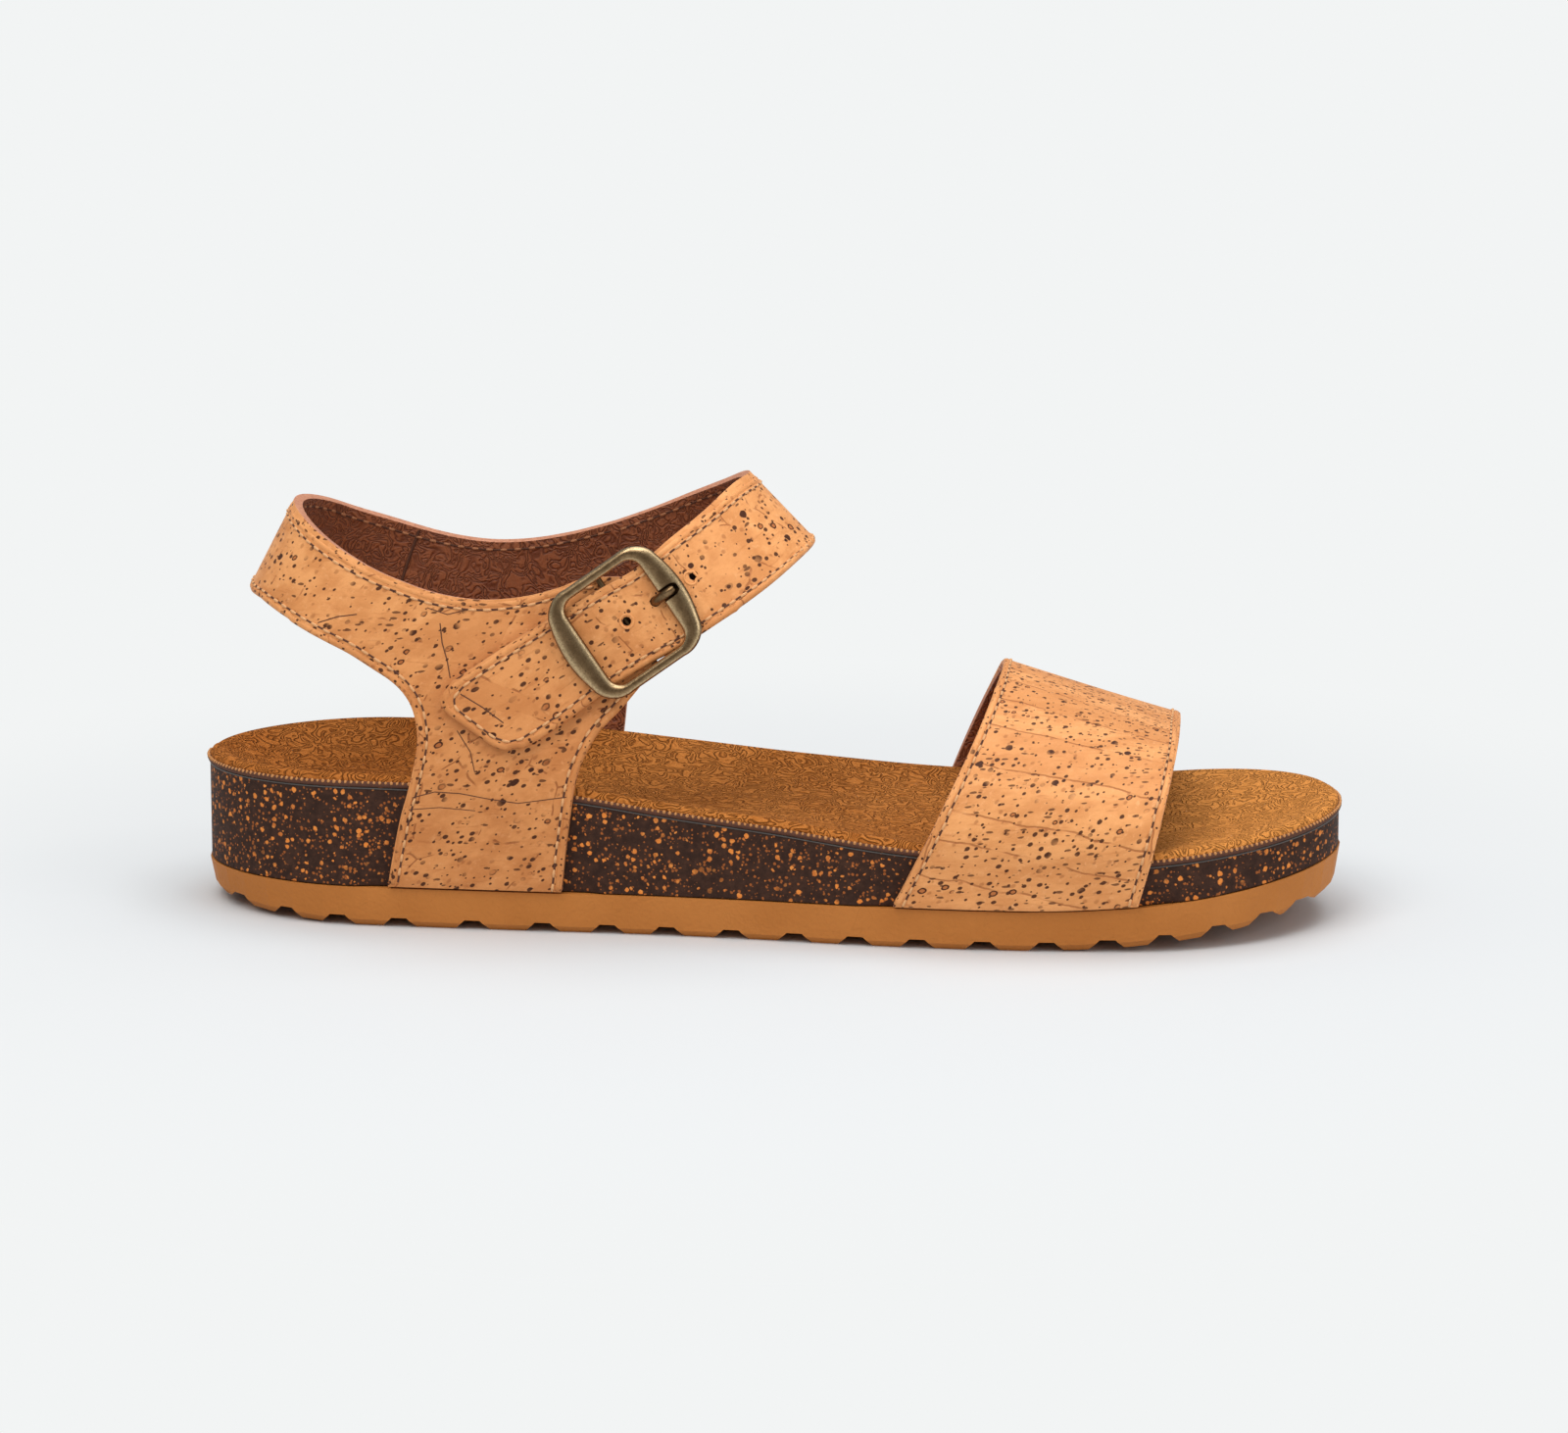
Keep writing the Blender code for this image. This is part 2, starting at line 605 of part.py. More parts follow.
def pattern_sheet(outline, spacing):
    """Triangulate a flat pattern with an even grid inside it, and lay it on the foot's form."""
    count = len(outline)
    low_x, high_x = min(p.x for p in outline), max(p.x for p in outline)
    low_z, high_z = min(p.y for p in outline), max(p.y for p in outline)
    inner = []
    rows = int((high_z - low_z) / spacing)
    columns = int((high_x - low_x) / spacing)
    for row in range(1, rows + 1):
        for column in range(columns + 1):
            shift = 0.5 * (row % 2)
            point = Vector((low_x + (column + shift) * spacing, low_z + row * spacing))
            near = min((point - edge).length for edge in outline)
            if near > 0.55 * spacing and inside_outline(point, outline):
                inner.append(point)
    edges = [(k, (k + 1) % count) for k in range(count)]
    flat, _, faces, _, _, _ = delaunay_2d_cdt(outline + inner, edges, [], 1, 1e-6)
    sheet = bmesh.new()
    verts = [sheet.verts.new(place(*ankle_point(p.x, p.y))) for p in flat]
    for face in faces:
        sheet.faces.new([verts[k] for k in face])
    loose = [v for v in sheet.verts if not v.link_faces]
    bmesh.ops.delete(sheet, geom=loose, context="VERTS")
    return sheet


def inside_outline(point, outline):
    inside = False
    for a, b in zip(outline, outline[1:] + outline[:1]):
        if (a.y > point.y) != (b.y > point.y):
            crossing = a.x + (point.y - a.y) * (b.x - a.x) / (b.y - a.y)
            if point.x < crossing:
                inside = not inside
    return inside


def add_front_strap(sheet):
    """Join the strap's band to the medial quarter, section by section."""
    junction_row = StrapRow(
        MEDIAL, MEDIAL_TOP[-1].x, MEDIAL_TOP[-1].z, MEDIAL_FRONT[0].x, MEDIAL_FRONT[0].z, 0.0)
    sections = [strap_section(row, STRAP_STEPS) for row in (junction_row,) + STRAP_ROWS]
    rails = [spline_points([section[k] for section in sections], 4) for k in range(STRAP_STEPS + 1)]
    grid = [[sheet.verts.new(place(*rail[j])) for rail in rails] for j in range(len(rails[0]))]
    for near, far in zip(grid, grid[1:]):
        for k in range(STRAP_STEPS):
            sheet.faces.new((near[k], near[k + 1], far[k + 1], far[k]))
    tip = [grid[-1][0], grid[-1][-1]]
    bmesh.ops.bevel(sheet, geom=tip, offset=TIP_ROUND * MM, segments=3, profile=0.5, affect="VERTICES")


def face_away(sheet):
    """Turn the surface so that its faces look away from the foot."""
    axis = Vector(((75.0 - SOLE_LENGTH / 2) * MM, 0.0, 0.0))
    total = 0.0
    for face in sheet.faces:
        centre = face.calc_center_median()
        out = Vector((centre.x - axis.x, centre.y, 0.0))
        total += face.normal.dot(out.normalized()) * face.calc_area()
    if total < 0:
        bmesh.ops.reverse_faces(sheet, faces=sheet.faces)


def toe_section(v, steps):
    """Inner face of the toe strap at a share v of the way from its back to its front edge."""
    lateral_x, medial_x, top_x, top_z, fullness = (
        a + (b - a) * v for a, b in zip(TOE_BACK, TOE_FRONT))
    points = []
    wall_steps = 2
    for side in (LATERAL, MEDIAL):
        base_x = lateral_x if side == LATERAL else medial_x
        rim = rim_height(base_x, side) + FOOTBED_EDGE + 0.6
        column = []
        for k in range(wall_steps):
            z = TOE_BASE_Z + tread_height(base_x) + (rim - TOE_BASE_Z) * k / wall_steps
            column.append(toe_wall_point(base_x, top_x, top_z, z, side, rim))
        for k in range(steps + 1):
            angle = math.pi / 2 * k / steps
            z = rim + (top_z - rim) * math.sin(angle) ** (2 / fullness)
            x = base_x + (top_x - base_x) * (z - TOE_BASE_Z) / (top_z - TOE_BASE_Z)
            width = half_width(x, side) - MIDSOLE_RIM_INSET + GAP + 0.2
            column.append(Vector((x, side * width * math.cos(angle) ** (2 / fullness), z)))
        points.append(column)
    return points[0] + points[1][-2::-1]


def toe_wall_point(base_x, top_x, top_z, z, side, rim):
    """Point of the toe strap on the midsole's wall."""
    x = base_x + (top_x - base_x) * (z - TOE_BASE_Z) / (top_z - TOE_BASE_Z)
    up_wall = min(1.0, (z - OUTSOLE_THICK) / (rim - OUTSOLE_THICK))
    inset = MIDSOLE_FOOT_INSET + (MIDSOLE_RIM_INSET - MIDSOLE_FOOT_INSET) * up_wall
    return Vector((x, side * (half_width(x, side) - inset + GAP + 0.2 * up_wall), z))


def build_toe_strap(group, root, material):
    """Wide band over the toes as an open surface with a solid wall."""
    across_steps, arch_steps = 7, 10
    sheet = bmesh.new()
    columns = [toe_section(k / across_steps, arch_steps) for k in range(across_steps + 1)]
    grid = [[sheet.verts.new(place(*point)) for point in column] for column in columns]
    for back, front in zip(grid, grid[1:]):
        for k in range(len(back) - 1):
            sheet.faces.new((back[k], front[k], front[k + 1], back[k + 1]))
    strap = add_object("toe_strap", sheet, material, group, root, smooth_angle=40)
    wall = strap.modifiers.new("wall", "SOLIDIFY")
    wall.thickness = WALL * MM
    wall.offset = 1.0
    return strap


def frame_level(s):
    """Height of the frame's middle above the form, clear over the strap at both end bars."""
    return FRAME_LEVEL + FRAME_TILT * s


def build_buckle_frame(group, cutters, root, material, axes):
    """Rounded frame with bowed end bars, joined to its sunk centre bar."""
    centre, along, across, outward = axes

    def spot(s, a, level):
        return place(*(centre + along * s + across * a + outward * level))

    path_steps, ring_steps = 56, 8
    half_s, half_a = WINDOW_ALONG / 2, WINDOW_ACROSS / 2
    tube = bmesh.new()
    rings = []
    for k in range(path_steps):
        inner_s, inner_a, out_s, out_a = rounded_corner_path(k / path_steps, half_s, half_a, WINDOW_CORNER)
        end_share = smooth_step((abs(inner_s) / half_s - 0.55) / 0.45)
        bow = END_BAR_BOW * (1 - min(1.0, abs(inner_a) / half_a) ** 2) * end_share
        width = SIDE_BAR_WIDTH + (END_BAR_WIDTH - SIDE_BAR_WIDTH) * end_share + bow
        ring = []
        for j in range(ring_steps):
            turn = 2 * math.pi * (j + 0.5) / ring_steps
            reach = width / 2 * (1 + math.cos(turn))
            s, a = inner_s + out_s * reach, inner_a + out_a * reach
            ring.append(tube.verts.new(spot(s, a, frame_level(s) + FRAME_THICK / 2 * math.sin(turn))))
        rings.append(ring)
    for near, far in zip(rings, rings[1:] + rings[:1]):
        for j in range(ring_steps):
            after = (j + 1) % ring_steps
            tube.faces.new((near[j], near[after], far[after], far[j]))
    bmesh.ops.recalc_face_normals(tube, faces=tube.faces)
    frame = add_object("buckle_frame", tube, material, group, root, smooth_angle=60)
    riser = half_a + SIDE_BAR_WIDTH / 2
    bar_path = ((-riser, FRAME_LEVEL), (-riser, BAR_LEVEL), (riser, BAR_LEVEL), (riser, FRAME_LEVEL))
    bar = rod("centre_bar", [spot(0, a, level) for a, level in bar_path],
              BAR_RADIUS, material, cutters, root)
    add_cut(frame, bar, "UNION")
    return frame


def rounded_corner_path(share, half_s, half_a, corner):
    """Point and outward direction at a share of the way round a rounded rectangle."""
    straight_s, straight_a = 2 * (half_s - corner), 2 * (half_a - corner)
    arc = math.pi / 2 * corner
    pieces = (
        ("side", straight_a, half_s, 0.0), ("corner", arc, 1, 1), ("side", straight_s, 0.0, half_a),
        ("corner", arc, -1, 1), ("side", straight_a, -half_s, 0.0), ("corner", arc, -1, -1),
        ("side", straight_s, 0.0, -half_a), ("corner", arc, 1, -1),
    )
    distance = share * sum(piece[1] for piece in pieces)
    angle = 0.0
    for kind, length, value_s, value_a in pieces:
        if distance < length:
            break
        distance -= length
        if kind == "corner":
            angle += math.pi / 2
    if kind == "side":
        slide = distance - length / 2
        s = value_s - slide * math.sin(angle)
        a = value_a + slide * math.cos(angle)
        return s, a, math.cos(angle), math.sin(angle)
    turn = angle + distance / corner
    s = value_s * (half_s - corner) + corner * math.cos(turn)
    a = value_a * (half_a - corner) + corner * math.sin(turn)
    return s, a, math.cos(turn), math.sin(turn)


def rod(name, points, radius, material, group, root):
    """Round rod along a path, as a mesh that can be cut or joined."""
    curve = bpy.data.curves.new(name, "CURVE")
    curve.dimensions = "3D"
    curve.bevel_depth = radius * MM
    curve.bevel_resolution = 2
    curve.use_fill_caps = True
    path = curve.splines.new("POLY")
    path.points.add(len(points) - 1)
    for spot, point in zip(path.points, points):
        spot.co = (*point, 1.0)
    holder = bpy.data.objects.new(name + "_path", curve)
    group.objects.link(holder)
    mesh = bpy.data.meshes.new_from_object(holder.evaluated_get(bpy.context.evaluated_depsgraph_get()))
    bpy.data.objects.remove(holder, do_unlink=True)
    solid = bmesh.new()
    solid.from_mesh(mesh)
    bmesh.ops.remove_doubles(solid, verts=solid.verts, dist=0.001 * MM)
    bmesh.ops.recalc_face_normals(solid, faces=solid.faces)
    item = add_object(name, solid, material, group, root, smooth_angle=50)
    hide_cutter(item)
    return item


def prong_path(axes, overrun=0.0):
    """Middle line of the prong from its eye, up through the strap and onto the front end bar."""
    centre, along, across, outward = axes
    tip = 13.4 + overrun
    steps = ((0.0, BAR_LEVEL), (3.5, 3.3), (5.6, 3.9), (7.3, 5.6), (8.7, 7.6), (10.8, 8.8), (tip, 9.1))
    path = spline_points([(s, level, 0.0) for s, level in steps], 3)
    return [place(*(centre + along * p.x + outward * p.y)) for p in path]


def build_prong(group, cutters, root, material, axes):
    """Prong with an eye round the centre bar."""
    centre, along, across, outward = axes
    prong = rod("buckle_prong", prong_path(axes), PRONG_RADIUS, material, group, root)
    prong.hide_render = False
    prong.display_type = "TEXTURED"

    def on_bar(a):
        return place(*(centre + across * a + outward * BAR_LEVEL))

    eye = rod("prong_eye", [on_bar(-1.5), on_bar(1.5)], PRONG_EYE, material, cutters, root)
    hole = rod("prong_eye_hole", [on_bar(-4.0), on_bar(4.0)], BAR_RADIUS + GAP, material, cutters, root)
    add_cut(prong, eye, "UNION")
    add_cut(prong, hole)
    return prong


def punch_holes(upper, cutters, root, material, axes):
    """Round holes of the front strap, at their distances along the strap from the buckle's middle."""
    centre, along, across, outward = axes
    for number, s in enumerate(HOLE_SPOTS):
        ends = [place(*(centre + along * s + outward * level)) for level in (HOLE_FROM, HOLE_TO)]
        add_cut(upper, rod(f"strap_hole_{number}", ends, HOLE_RADIUS, material, cutters, root))


def centre_parts(parts, root):
    """Set the shoe with the middle of its box over the origin."""
    bpy.context.view_layer.update()
    graph = bpy.context.evaluated_depsgraph_get()
    corners = []
    for part in parts:
        shape = part.evaluated_get(graph)
        corners += [shape.matrix_world @ Vector(corner) for corner in shape.bound_box]
    for axis in (0, 1):
        values = [corner[axis] for corner in corners]
        root.location[axis] = -(min(values) + max(values)) / 2


def main():
    clear_scene()
    group = new_collection("cork_footbed_sandal")
    cutters = new_collection("cutters")
    root = bpy.data.objects.new("sandal_root", None)
    group.objects.link(root)
    gum = make_material("gum_rubber", (0.46, 0.21, 0.07), 0.7)
    granule = make_material("cork_granule_mix", (0.055, 0.025, 0.018), 0.75)
    suede = make_material("suede_footbed", (0.45, 0.17, 0.045), 0.95)
    cork = make_material("cork_fabric", (0.72, 0.36, 0.15), 0.6)
    brass = make_material("antique_brass", (0.2, 0.14, 0.075), 0.35, 1.0)
    outsole = build_outsole(group, cutters, root, gum)
    midsole = build_midsole(group, root, granule)
    footbed = build_footbed(group, root, suede)
    toe_strap = build_toe_strap(group, root, cork)
    upper = build_ankle_upper(group, cutters, root, cork)
    axes = buckle_axes()
    frame = build_buckle_frame(group, cutters, root, brass, axes)
    prong = build_prong(group, cutters, root, brass, axes)
    slot = rod("prong_slot", prong_path(axes, overrun=3.0), PRONG_RADIUS + 0.4, brass, cutters, root)
    add_cut(upper, slot)
    add_cut(frame, slot)
    punch_holes(upper, cutters, root, cork, axes)
    centre_parts((outsole, midsole, footbed, toe_strap, upper, frame, prong), root)


main()
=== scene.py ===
"""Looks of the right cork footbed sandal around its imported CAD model.

Tables and constants are in millimetres in the shoe's own sizes: x from the back of the heel to
the toe, y from the lateral side (negative) to the medial side (positive), z up from the floor.
"""

import math
import random
from collections import namedtuple

import bmesh
import bpy
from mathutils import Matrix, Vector
from mathutils.bvhtree import BVHTree
from mathutils.geometry import delaunay_2d_cdt

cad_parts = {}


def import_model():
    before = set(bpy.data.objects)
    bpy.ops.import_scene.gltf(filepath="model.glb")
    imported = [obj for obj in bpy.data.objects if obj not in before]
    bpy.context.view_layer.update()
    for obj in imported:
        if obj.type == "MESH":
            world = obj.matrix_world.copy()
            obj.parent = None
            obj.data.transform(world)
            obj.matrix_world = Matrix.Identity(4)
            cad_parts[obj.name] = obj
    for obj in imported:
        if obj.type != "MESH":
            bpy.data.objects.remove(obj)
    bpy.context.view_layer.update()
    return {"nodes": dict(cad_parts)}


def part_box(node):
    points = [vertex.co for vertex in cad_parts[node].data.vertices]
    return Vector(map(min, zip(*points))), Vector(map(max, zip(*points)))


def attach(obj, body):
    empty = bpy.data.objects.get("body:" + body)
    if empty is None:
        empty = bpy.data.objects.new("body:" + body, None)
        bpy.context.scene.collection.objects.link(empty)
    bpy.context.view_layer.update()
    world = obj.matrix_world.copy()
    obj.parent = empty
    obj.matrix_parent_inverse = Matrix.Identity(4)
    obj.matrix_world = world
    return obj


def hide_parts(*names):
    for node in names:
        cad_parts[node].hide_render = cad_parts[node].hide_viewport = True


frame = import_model()

MM = 0.001
LATERAL, MEDIAL = -1, 1
GAP = 0.3
BAKED_SHARP_ANGLE, METAL_SHARP_ANGLE = 35, 50

# Camera, floor and light
CAMERA_AZIMUTH = math.radians(5.0)
CAMERA_ELEVATION = math.radians(12.0)
CAMERA_TARGET = (131.0, 0.0, 42.6)
CAMERA_DISTANCE = 1200.0
PHOTO_WIDTH = 1600
PIXELS_PER_MM = 4.535
SENSOR_WIDTH = 36.0
PAPER_COLOUR = (0.889, 0.905, 0.905)

# Sole
SOLE_LENGTH = 256.0
HEEL_ROUND = 38.0
TOE_ROUND = {LATERAL: 46.0, MEDIAL: 36.0}
OUTSOLE_THICK = 9.2
OUTSOLE_EDGE_ROUND = 0.35
TOE_SPRING = 7.6
TOE_THINNING = 0.08
SPRING_START = 188.0
SPRING_POWER = 1.7
HEEL_LIFT = 2.2
HEEL_LIFT_END = 46.0
HEEL_LIFT_POWER = 1.6

# Midsole and footbed
MIDSOLE_FOOT_INSET = 1.5
MIDSOLE_RIM_INSET = 0.4
MIDSOLE_OPEN_INSET = 0.35
FOOTBED_EDGE = 2.0
FOOTBED_SKIN = 2.2
RIM_LAND = 3.5
BOWL_POWER = 2.6
BOWL_SHARES = (0.985, 0.96, 0.92, 0.86, 0.78, 0.68, 0.56, 0.42, 0.26)
SPINE_FLAT_HALF = 30.0
MIDSOLE_RINGS = 7
STRAP_COVERS = ((38.0, 44.0, 89.0, 95.0), (150.0, 157.0, 217.0, 224.0))
BEAD_INSET, BEAD_HEIGHT, BEAD_PITCH = 0.1, 1.0, 1.3
BEAD_RADII, BEAD_TALL = (0.34, 0.46), 1.15
SEWN_LINE_INSET, SEWN_LINE_HEIGHT, SEWN_LINE_RADIUS = 0.45, 0.55, 0.66
TOP_LINE_INSET, TOP_LINE_DROP, TOP_LINE_RADIUS = 0.42, 0.35, 0.22

# Straps
WALL = 2.2
STRAP_WIDTH = 20.2
BACK_ROUND = 30.0
FRONT_ROUND = 34.0
SLING_LOW = 70.7
SLING_HIGH = 90.2
SLING_BACK_X, SLING_BACK_Z = 14.3, 74.0
SLING_LEAN = 0.52
FRONT_LOW_X, FRONT_LOW_Z = 132.8, 85.0
FRONT_LEAN = 0.978
LEG_BLEND_START, LEG_BLEND_END = 27.0, 62.0
STRAP_STEPS = 12
SPAN_STEPS = 10
TIP_ROUND_ALONG, TIP_ROUND_ACROSS = 0.3, 0.24
PATTERN_SPACING = 3.0
CUT_EDGE_ROUND = 0.45
TOE_STEPS = 30
TOE_CLEARANCE = 0.2

# Flat pattern places of the front strap, the toe strap and the edge bands, and lengths on it
STRAP_FLAT_START, STRAP_FLAT_SPAN = 200, 11.5
TOE_FLAT_START, TOE_FLAT_LENGTH = 400, 52.0
BAND_FLAT_START, BAND_FLAT_WIDTH = 600, 0.6

# Seams and rolled edges
STITCH_INSET = 1.9
STITCH_PITCH = 3.3
STITCH_LENGTH = 2.1
STITCH_STEPS = 8
THREAD_RADIUS, THREAD_SUNK, THREAD_HUMP = 0.36, 0.16, 0.22
THREAD_TIP = 0.55
LINING_LIFT = -0.2
SEAM_RADIUS, SEAM_SUNK, SEAM_STEP = 0.3, 0.12, 1.0
ROLL_INSET = 0.8
ROLL_RADIUS = 0.95
ROLL_SUNK = 0.72
ROLL_STEP, ROLL_SIDES = 1.2, 10

# Buckle, in its own plane: along the strap, across it and outward
BUCKLE_X, BUCKLE_Z = 99.3, 69.3
STRAP_SLOPE = math.radians(35.0)
WINDOW_ALONG = 19.6
WINDOW_ACROSS = 22.0
END_BAR_WIDTH = 4.2
END_BAR_BOW = 1.5
END_BAR_START = 1.0
SIDE_BAR_WIDTH = 2.4
WINDOW_CORNER = 3.0
FRAME_THICK = 2.4
FRAME_LEVEL = 7.6
FRAME_TILT = 0.055
FRAME_STEPS, FRAME_SIDES = 180, 24
FRAME_SQUARENESS = 0.85
# Angles round the frame's section, and their spread, where a painted highlight lies on its shoulders
HIGHLIGHT_ANGLES, HIGHLIGHT_SPREAD = (48, 138), 0.3
BAR_RADIUS = 0.7
BAR_LEVEL = 3.2
PRONG_RADIUS = 1.05
PRONG_EYE, PRONG_EYE_HALF = 1.6, 1.5
PRONG_STEPS = ((0.0, BAR_LEVEL), (3.5, 3.3), (5.6, 3.9), (7.3, 5.6), (8.7, 7.7), (10.8, 9.0))
PRONG_END, PRONG_END_LEVEL = 13.4, 9.4
PRONG_TAPER = (0.95, 0.6)
HOLE_RADIUS = 1.0
HOLE_SPOTS = (0.5, 18.0)
HOLE_FROM, HOLE_TO = 3.0, 9.0
HOLE_RING_RADIUS, HOLE_RING_LEVEL = 1.5, 7.5
HOLE_RING_THICK, HOLE_RING_SUNK = 0.32, 0.1
SLOT_OVERRUN, SLOT_CLEARANCE = 3.0, 0.12
NOTCH_OVERRUN, NOTCH_CLEARANCE = 0.9, 0.45
NOTCH_TAPER = (0.93, 0.55)


def rows_of(kind, *rows):
    """Table rows that are read by field name."""
    return tuple(kind(*row) for row in rows)


OutlineRow = namedtuple("OutlineRow", "share lateral medial")
OUTLINE_ROWS = rows_of(
    OutlineRow,
    (0.00, 30.0, 32.0),
    (0.15, 33.0, 33.5),
    (0.30, 35.0, 33.2),
    (0.40, 36.0, 33.4),
    (0.50, 38.4, 35.4),
    (0.60, 41.8, 39.2),
    (0.70, 43.4, 42.2),
    (0.82, 42.4, 43.4),
    (1.00, 39.6, 42.5),
)

WallRow = namedtuple("WallRow", "share lateral medial bowl")
WALL_ROWS = rows_of(
    WallRow,
    (0.00, 22.3, 22.0, 6.5),
    (0.18, 22.8, 22.2, 7.5),
    (0.32, 21.5, 20.8, 7.0),
    (0.42, 18.2, 18.2, 6.0),
    (0.52, 15.4, 15.0, 4.5),
    (0.62, 12.3, 12.0, 3.4),
    (0.74, 10.1, 9.9, 3.0),
    (0.84, 9.1, 9.1, 3.2),
    (1.00, 8.5, 8.6, 3.6),
)

AnkleRow = namedtuple("AnkleRow", "height half_width")
ANKLE_ROWS = rows_of(
    AnkleRow,
    (30.0, 33.4),
    (45.0, 32.0),
    (60.0, 30.0),
    (77.0, 27.2),
    (101.0, 23.2),
)

# Cut edges of the ankle upper in side view, each from the back of the heel
EdgeRow = namedtuple("EdgeRow", "x z")
LATERAL_REAR = rows_of(
    EdgeRow,
    (16.8, 70.6), (21.7, 68.9), (28.4, 66.0), (36.0, 62.5), (42.1, 58.9), (47.2, 55.7), (50.4, 52.4),
    (52.4, 48.4), (53.2, 43.1), (52.6, 38.4), (51.2, 32.4), (49.2, 25.5), (47.2, 16.1), (46.1, 9.9),
)
LATERAL_FRONT = rows_of(
    EdgeRow,
    (84.9, 9.9), (85.9, 18.8), (87.2, 28.1), (88.4, 35.2), (90.2, 40.7), (93.3, 46.2), (98.0, 51.2),
    (103.0, 57.2),
)
LATERAL_TOP = rows_of(
    EdgeRow,
    (92.4, 78.9), (88.6, 78.3), (84.4, 76.6), (78.6, 74.9), (72.6, 73.9), (66.7, 73.6), (60.9, 74.1),
    (55.1, 75.3), (49.2, 77.3), (43.6, 79.5), (37.9, 82.2), (31.9, 85.3), (26.0, 88.6),
)
MEDIAL_TOP = rows_of(
    EdgeRow,
    (26.0, 88.0), (32.2, 84.3), (39.0, 81.5), (46.2, 79.1), (54.2, 77.3), (62.3, 76.5), (70.7, 77.0),
    (78.9, 78.5), (85.0, 80.1), (90.0, 81.6),
)
MEDIAL_FRONT = rows_of(
    EdgeRow,
    (98.7, 63.0), (95.4, 56.2), (93.0, 48.8), (91.6, 39.6), (90.6, 30.9), (88.8, 20.0), (87.4, 9.9),
)
MEDIAL_REAR = rows_of(
    EdgeRow,
    (46.5, 9.9), (48.4, 21.0), (50.6, 29.6), (52.5, 36.4), (53.4, 43.1), (52.6, 48.5), (50.6, 52.7),
    (47.2, 56.2), (42.1, 59.5), (36.0, 62.9), (28.4, 66.6), (21.7, 69.3), (16.8, 70.7),
)

# Front strap, a row for each cross section from the medial quarter to the free tip, where lift is
# the distance of its inner face outside the foot's form
StrapRow = namedtuple("StrapRow", "side top_x top_z bottom_x bottom_z lift")
STRAP_ROWS = rows_of(
    StrapRow,
    (MEDIAL, 98.8, 84.9, 107.8, 66.5, 0.0),
    (MEDIAL, 107.4, 88.6, 117.6, 70.8, 0.0),
    (MEDIAL, 114.8, 92.2, 126.6, 75.4, 0.0),
    (MEDIAL, 119.6, 95.2, 133.0, 79.7, 0.0),
    (MEDIAL, 121.6, 96.6, 136.2, 81.6, 0.0),
    (LATERAL, 119.0, 95.8, 134.0, 80.2, 0.0),
    (LATERAL, 112.8, 91.5, 127.5, 76.4, 1.8),
    (LATERAL, 106.7, 87.1, 119.0, 70.8, 3.9),
    (LATERAL, 101.2, 81.6, 112.2, 65.8, 4.9),
    (LATERAL, 93.7, 77.3, 104.6, 61.7, 5.05),
    (LATERAL, 84.2, 71.3, 94.6, 55.0, 3.1),
    (LATERAL, 73.0, 64.3, 84.6, 47.5, 2.5),
    (LATERAL, 55.6, 52.6, 74.0, 40.8, 2.5),
)

# Toe strap: back edge and front edge
ToeRow = namedtuple("ToeRow", "lateral_x medial_x top_x top_z fullness")
TOE_BACK = ToeRow(158.7, 161.5, 180.2, 53.4, 2.0)
TOE_FRONT = ToeRow(211.5, 215.0, 219.3, 39.9, 2.4)
TOE_BASE_Z = 9.9


def table_value(rows, key, column):
    """Smooth value of a table column; the first column of the table is the key."""
    keys = [row[0] for row in rows]
    values = [getattr(row, column) for row in rows]
    if key <= keys[0]:
        return values[0]
    if key >= keys[-1]:
        return values[-1]
    low = max(k for k in range(len(keys) - 1) if keys[k] <= key)

    def slope(k):
        before, after = max(k - 1, 0), min(k + 1, len(keys) - 1)
        return (values[after] - values[before]) / (keys[after] - keys[before])

    span = keys[low + 1] - keys[low]
    t = (key - keys[low]) / span
    return (
        values[low] * (2 * t**3 - 3 * t**2 + 1)
        + slope(low) * span * (t**3 - 2 * t**2 + t)
        + values[low + 1] * (3 * t**2 - 2 * t**3)
        + slope(low + 1) * span * (t**3 - t**2)
    )


def smooth_step(value):
    t = min(max(value, 0.0), 1.0)
    return t * t * (3 - 2 * t)


def spline_at(points, t):
    """Catmull-Rom point at t, counted in spans from the first point."""
    last = len(points) - 1
    k = min(int(t), last - 1)
    u = t - k
    b, c = points[k], points[k + 1]
    a = points[k - 1] if k > 0 else 2 * b - c
    d = points[k + 2] if k + 2 <= last else 2 * c - b
    return (
        b + (c - a) * (u / 2) + (2 * a - 5 * b + 4 * c - d) * (u * u / 2)
        + (3 * b - a - 3 * c + d) * (u**3 / 2)
    )


def spline_points(points, pieces):
    points = [Vector(p) for p in points]
    steps = (len(points) - 1) * pieces
    return [spline_at(points, k / pieces) for k in range(steps)] + [points[-1]]


def side_name(side):
    return "lateral" if side == LATERAL else "medial"


def half_width(x, side):
    """Half width of the sole's outline at x, rounded at the heel and the toe."""
    width = table_value(OUTLINE_ROWS, x / SOLE_LENGTH, side_name(side))
    lag = 0.0
    if x < HEEL_ROUND:
        lag = 1 - x / HEEL_ROUND
    elif x > SOLE_LENGTH - TOE_ROUND[side]:
        lag = 1 - (SOLE_LENGTH - x) / TOE_ROUND[side]
    return width * math.sqrt(max(0.0, 1 - lag * lag))


def tread_height(x):
    """Height of the tread above the floor: heel lift, flat and toe spring."""
    if x < HEEL_LIFT_END:
        return HEEL_LIFT * ((HEEL_LIFT_END - x) / HEEL_LIFT_END) ** HEEL_LIFT_POWER
    if x > SPRING_START:
        return TOE_SPRING * ((x - SPRING_START) / (SOLE_LENGTH - SPRING_START)) ** SPRING_POWER
    return 0.0


def outsole_top(x):
    return OUTSOLE_THICK + (1 - TOE_THINNING) * tread_height(max(x, HEEL_LIFT_END))


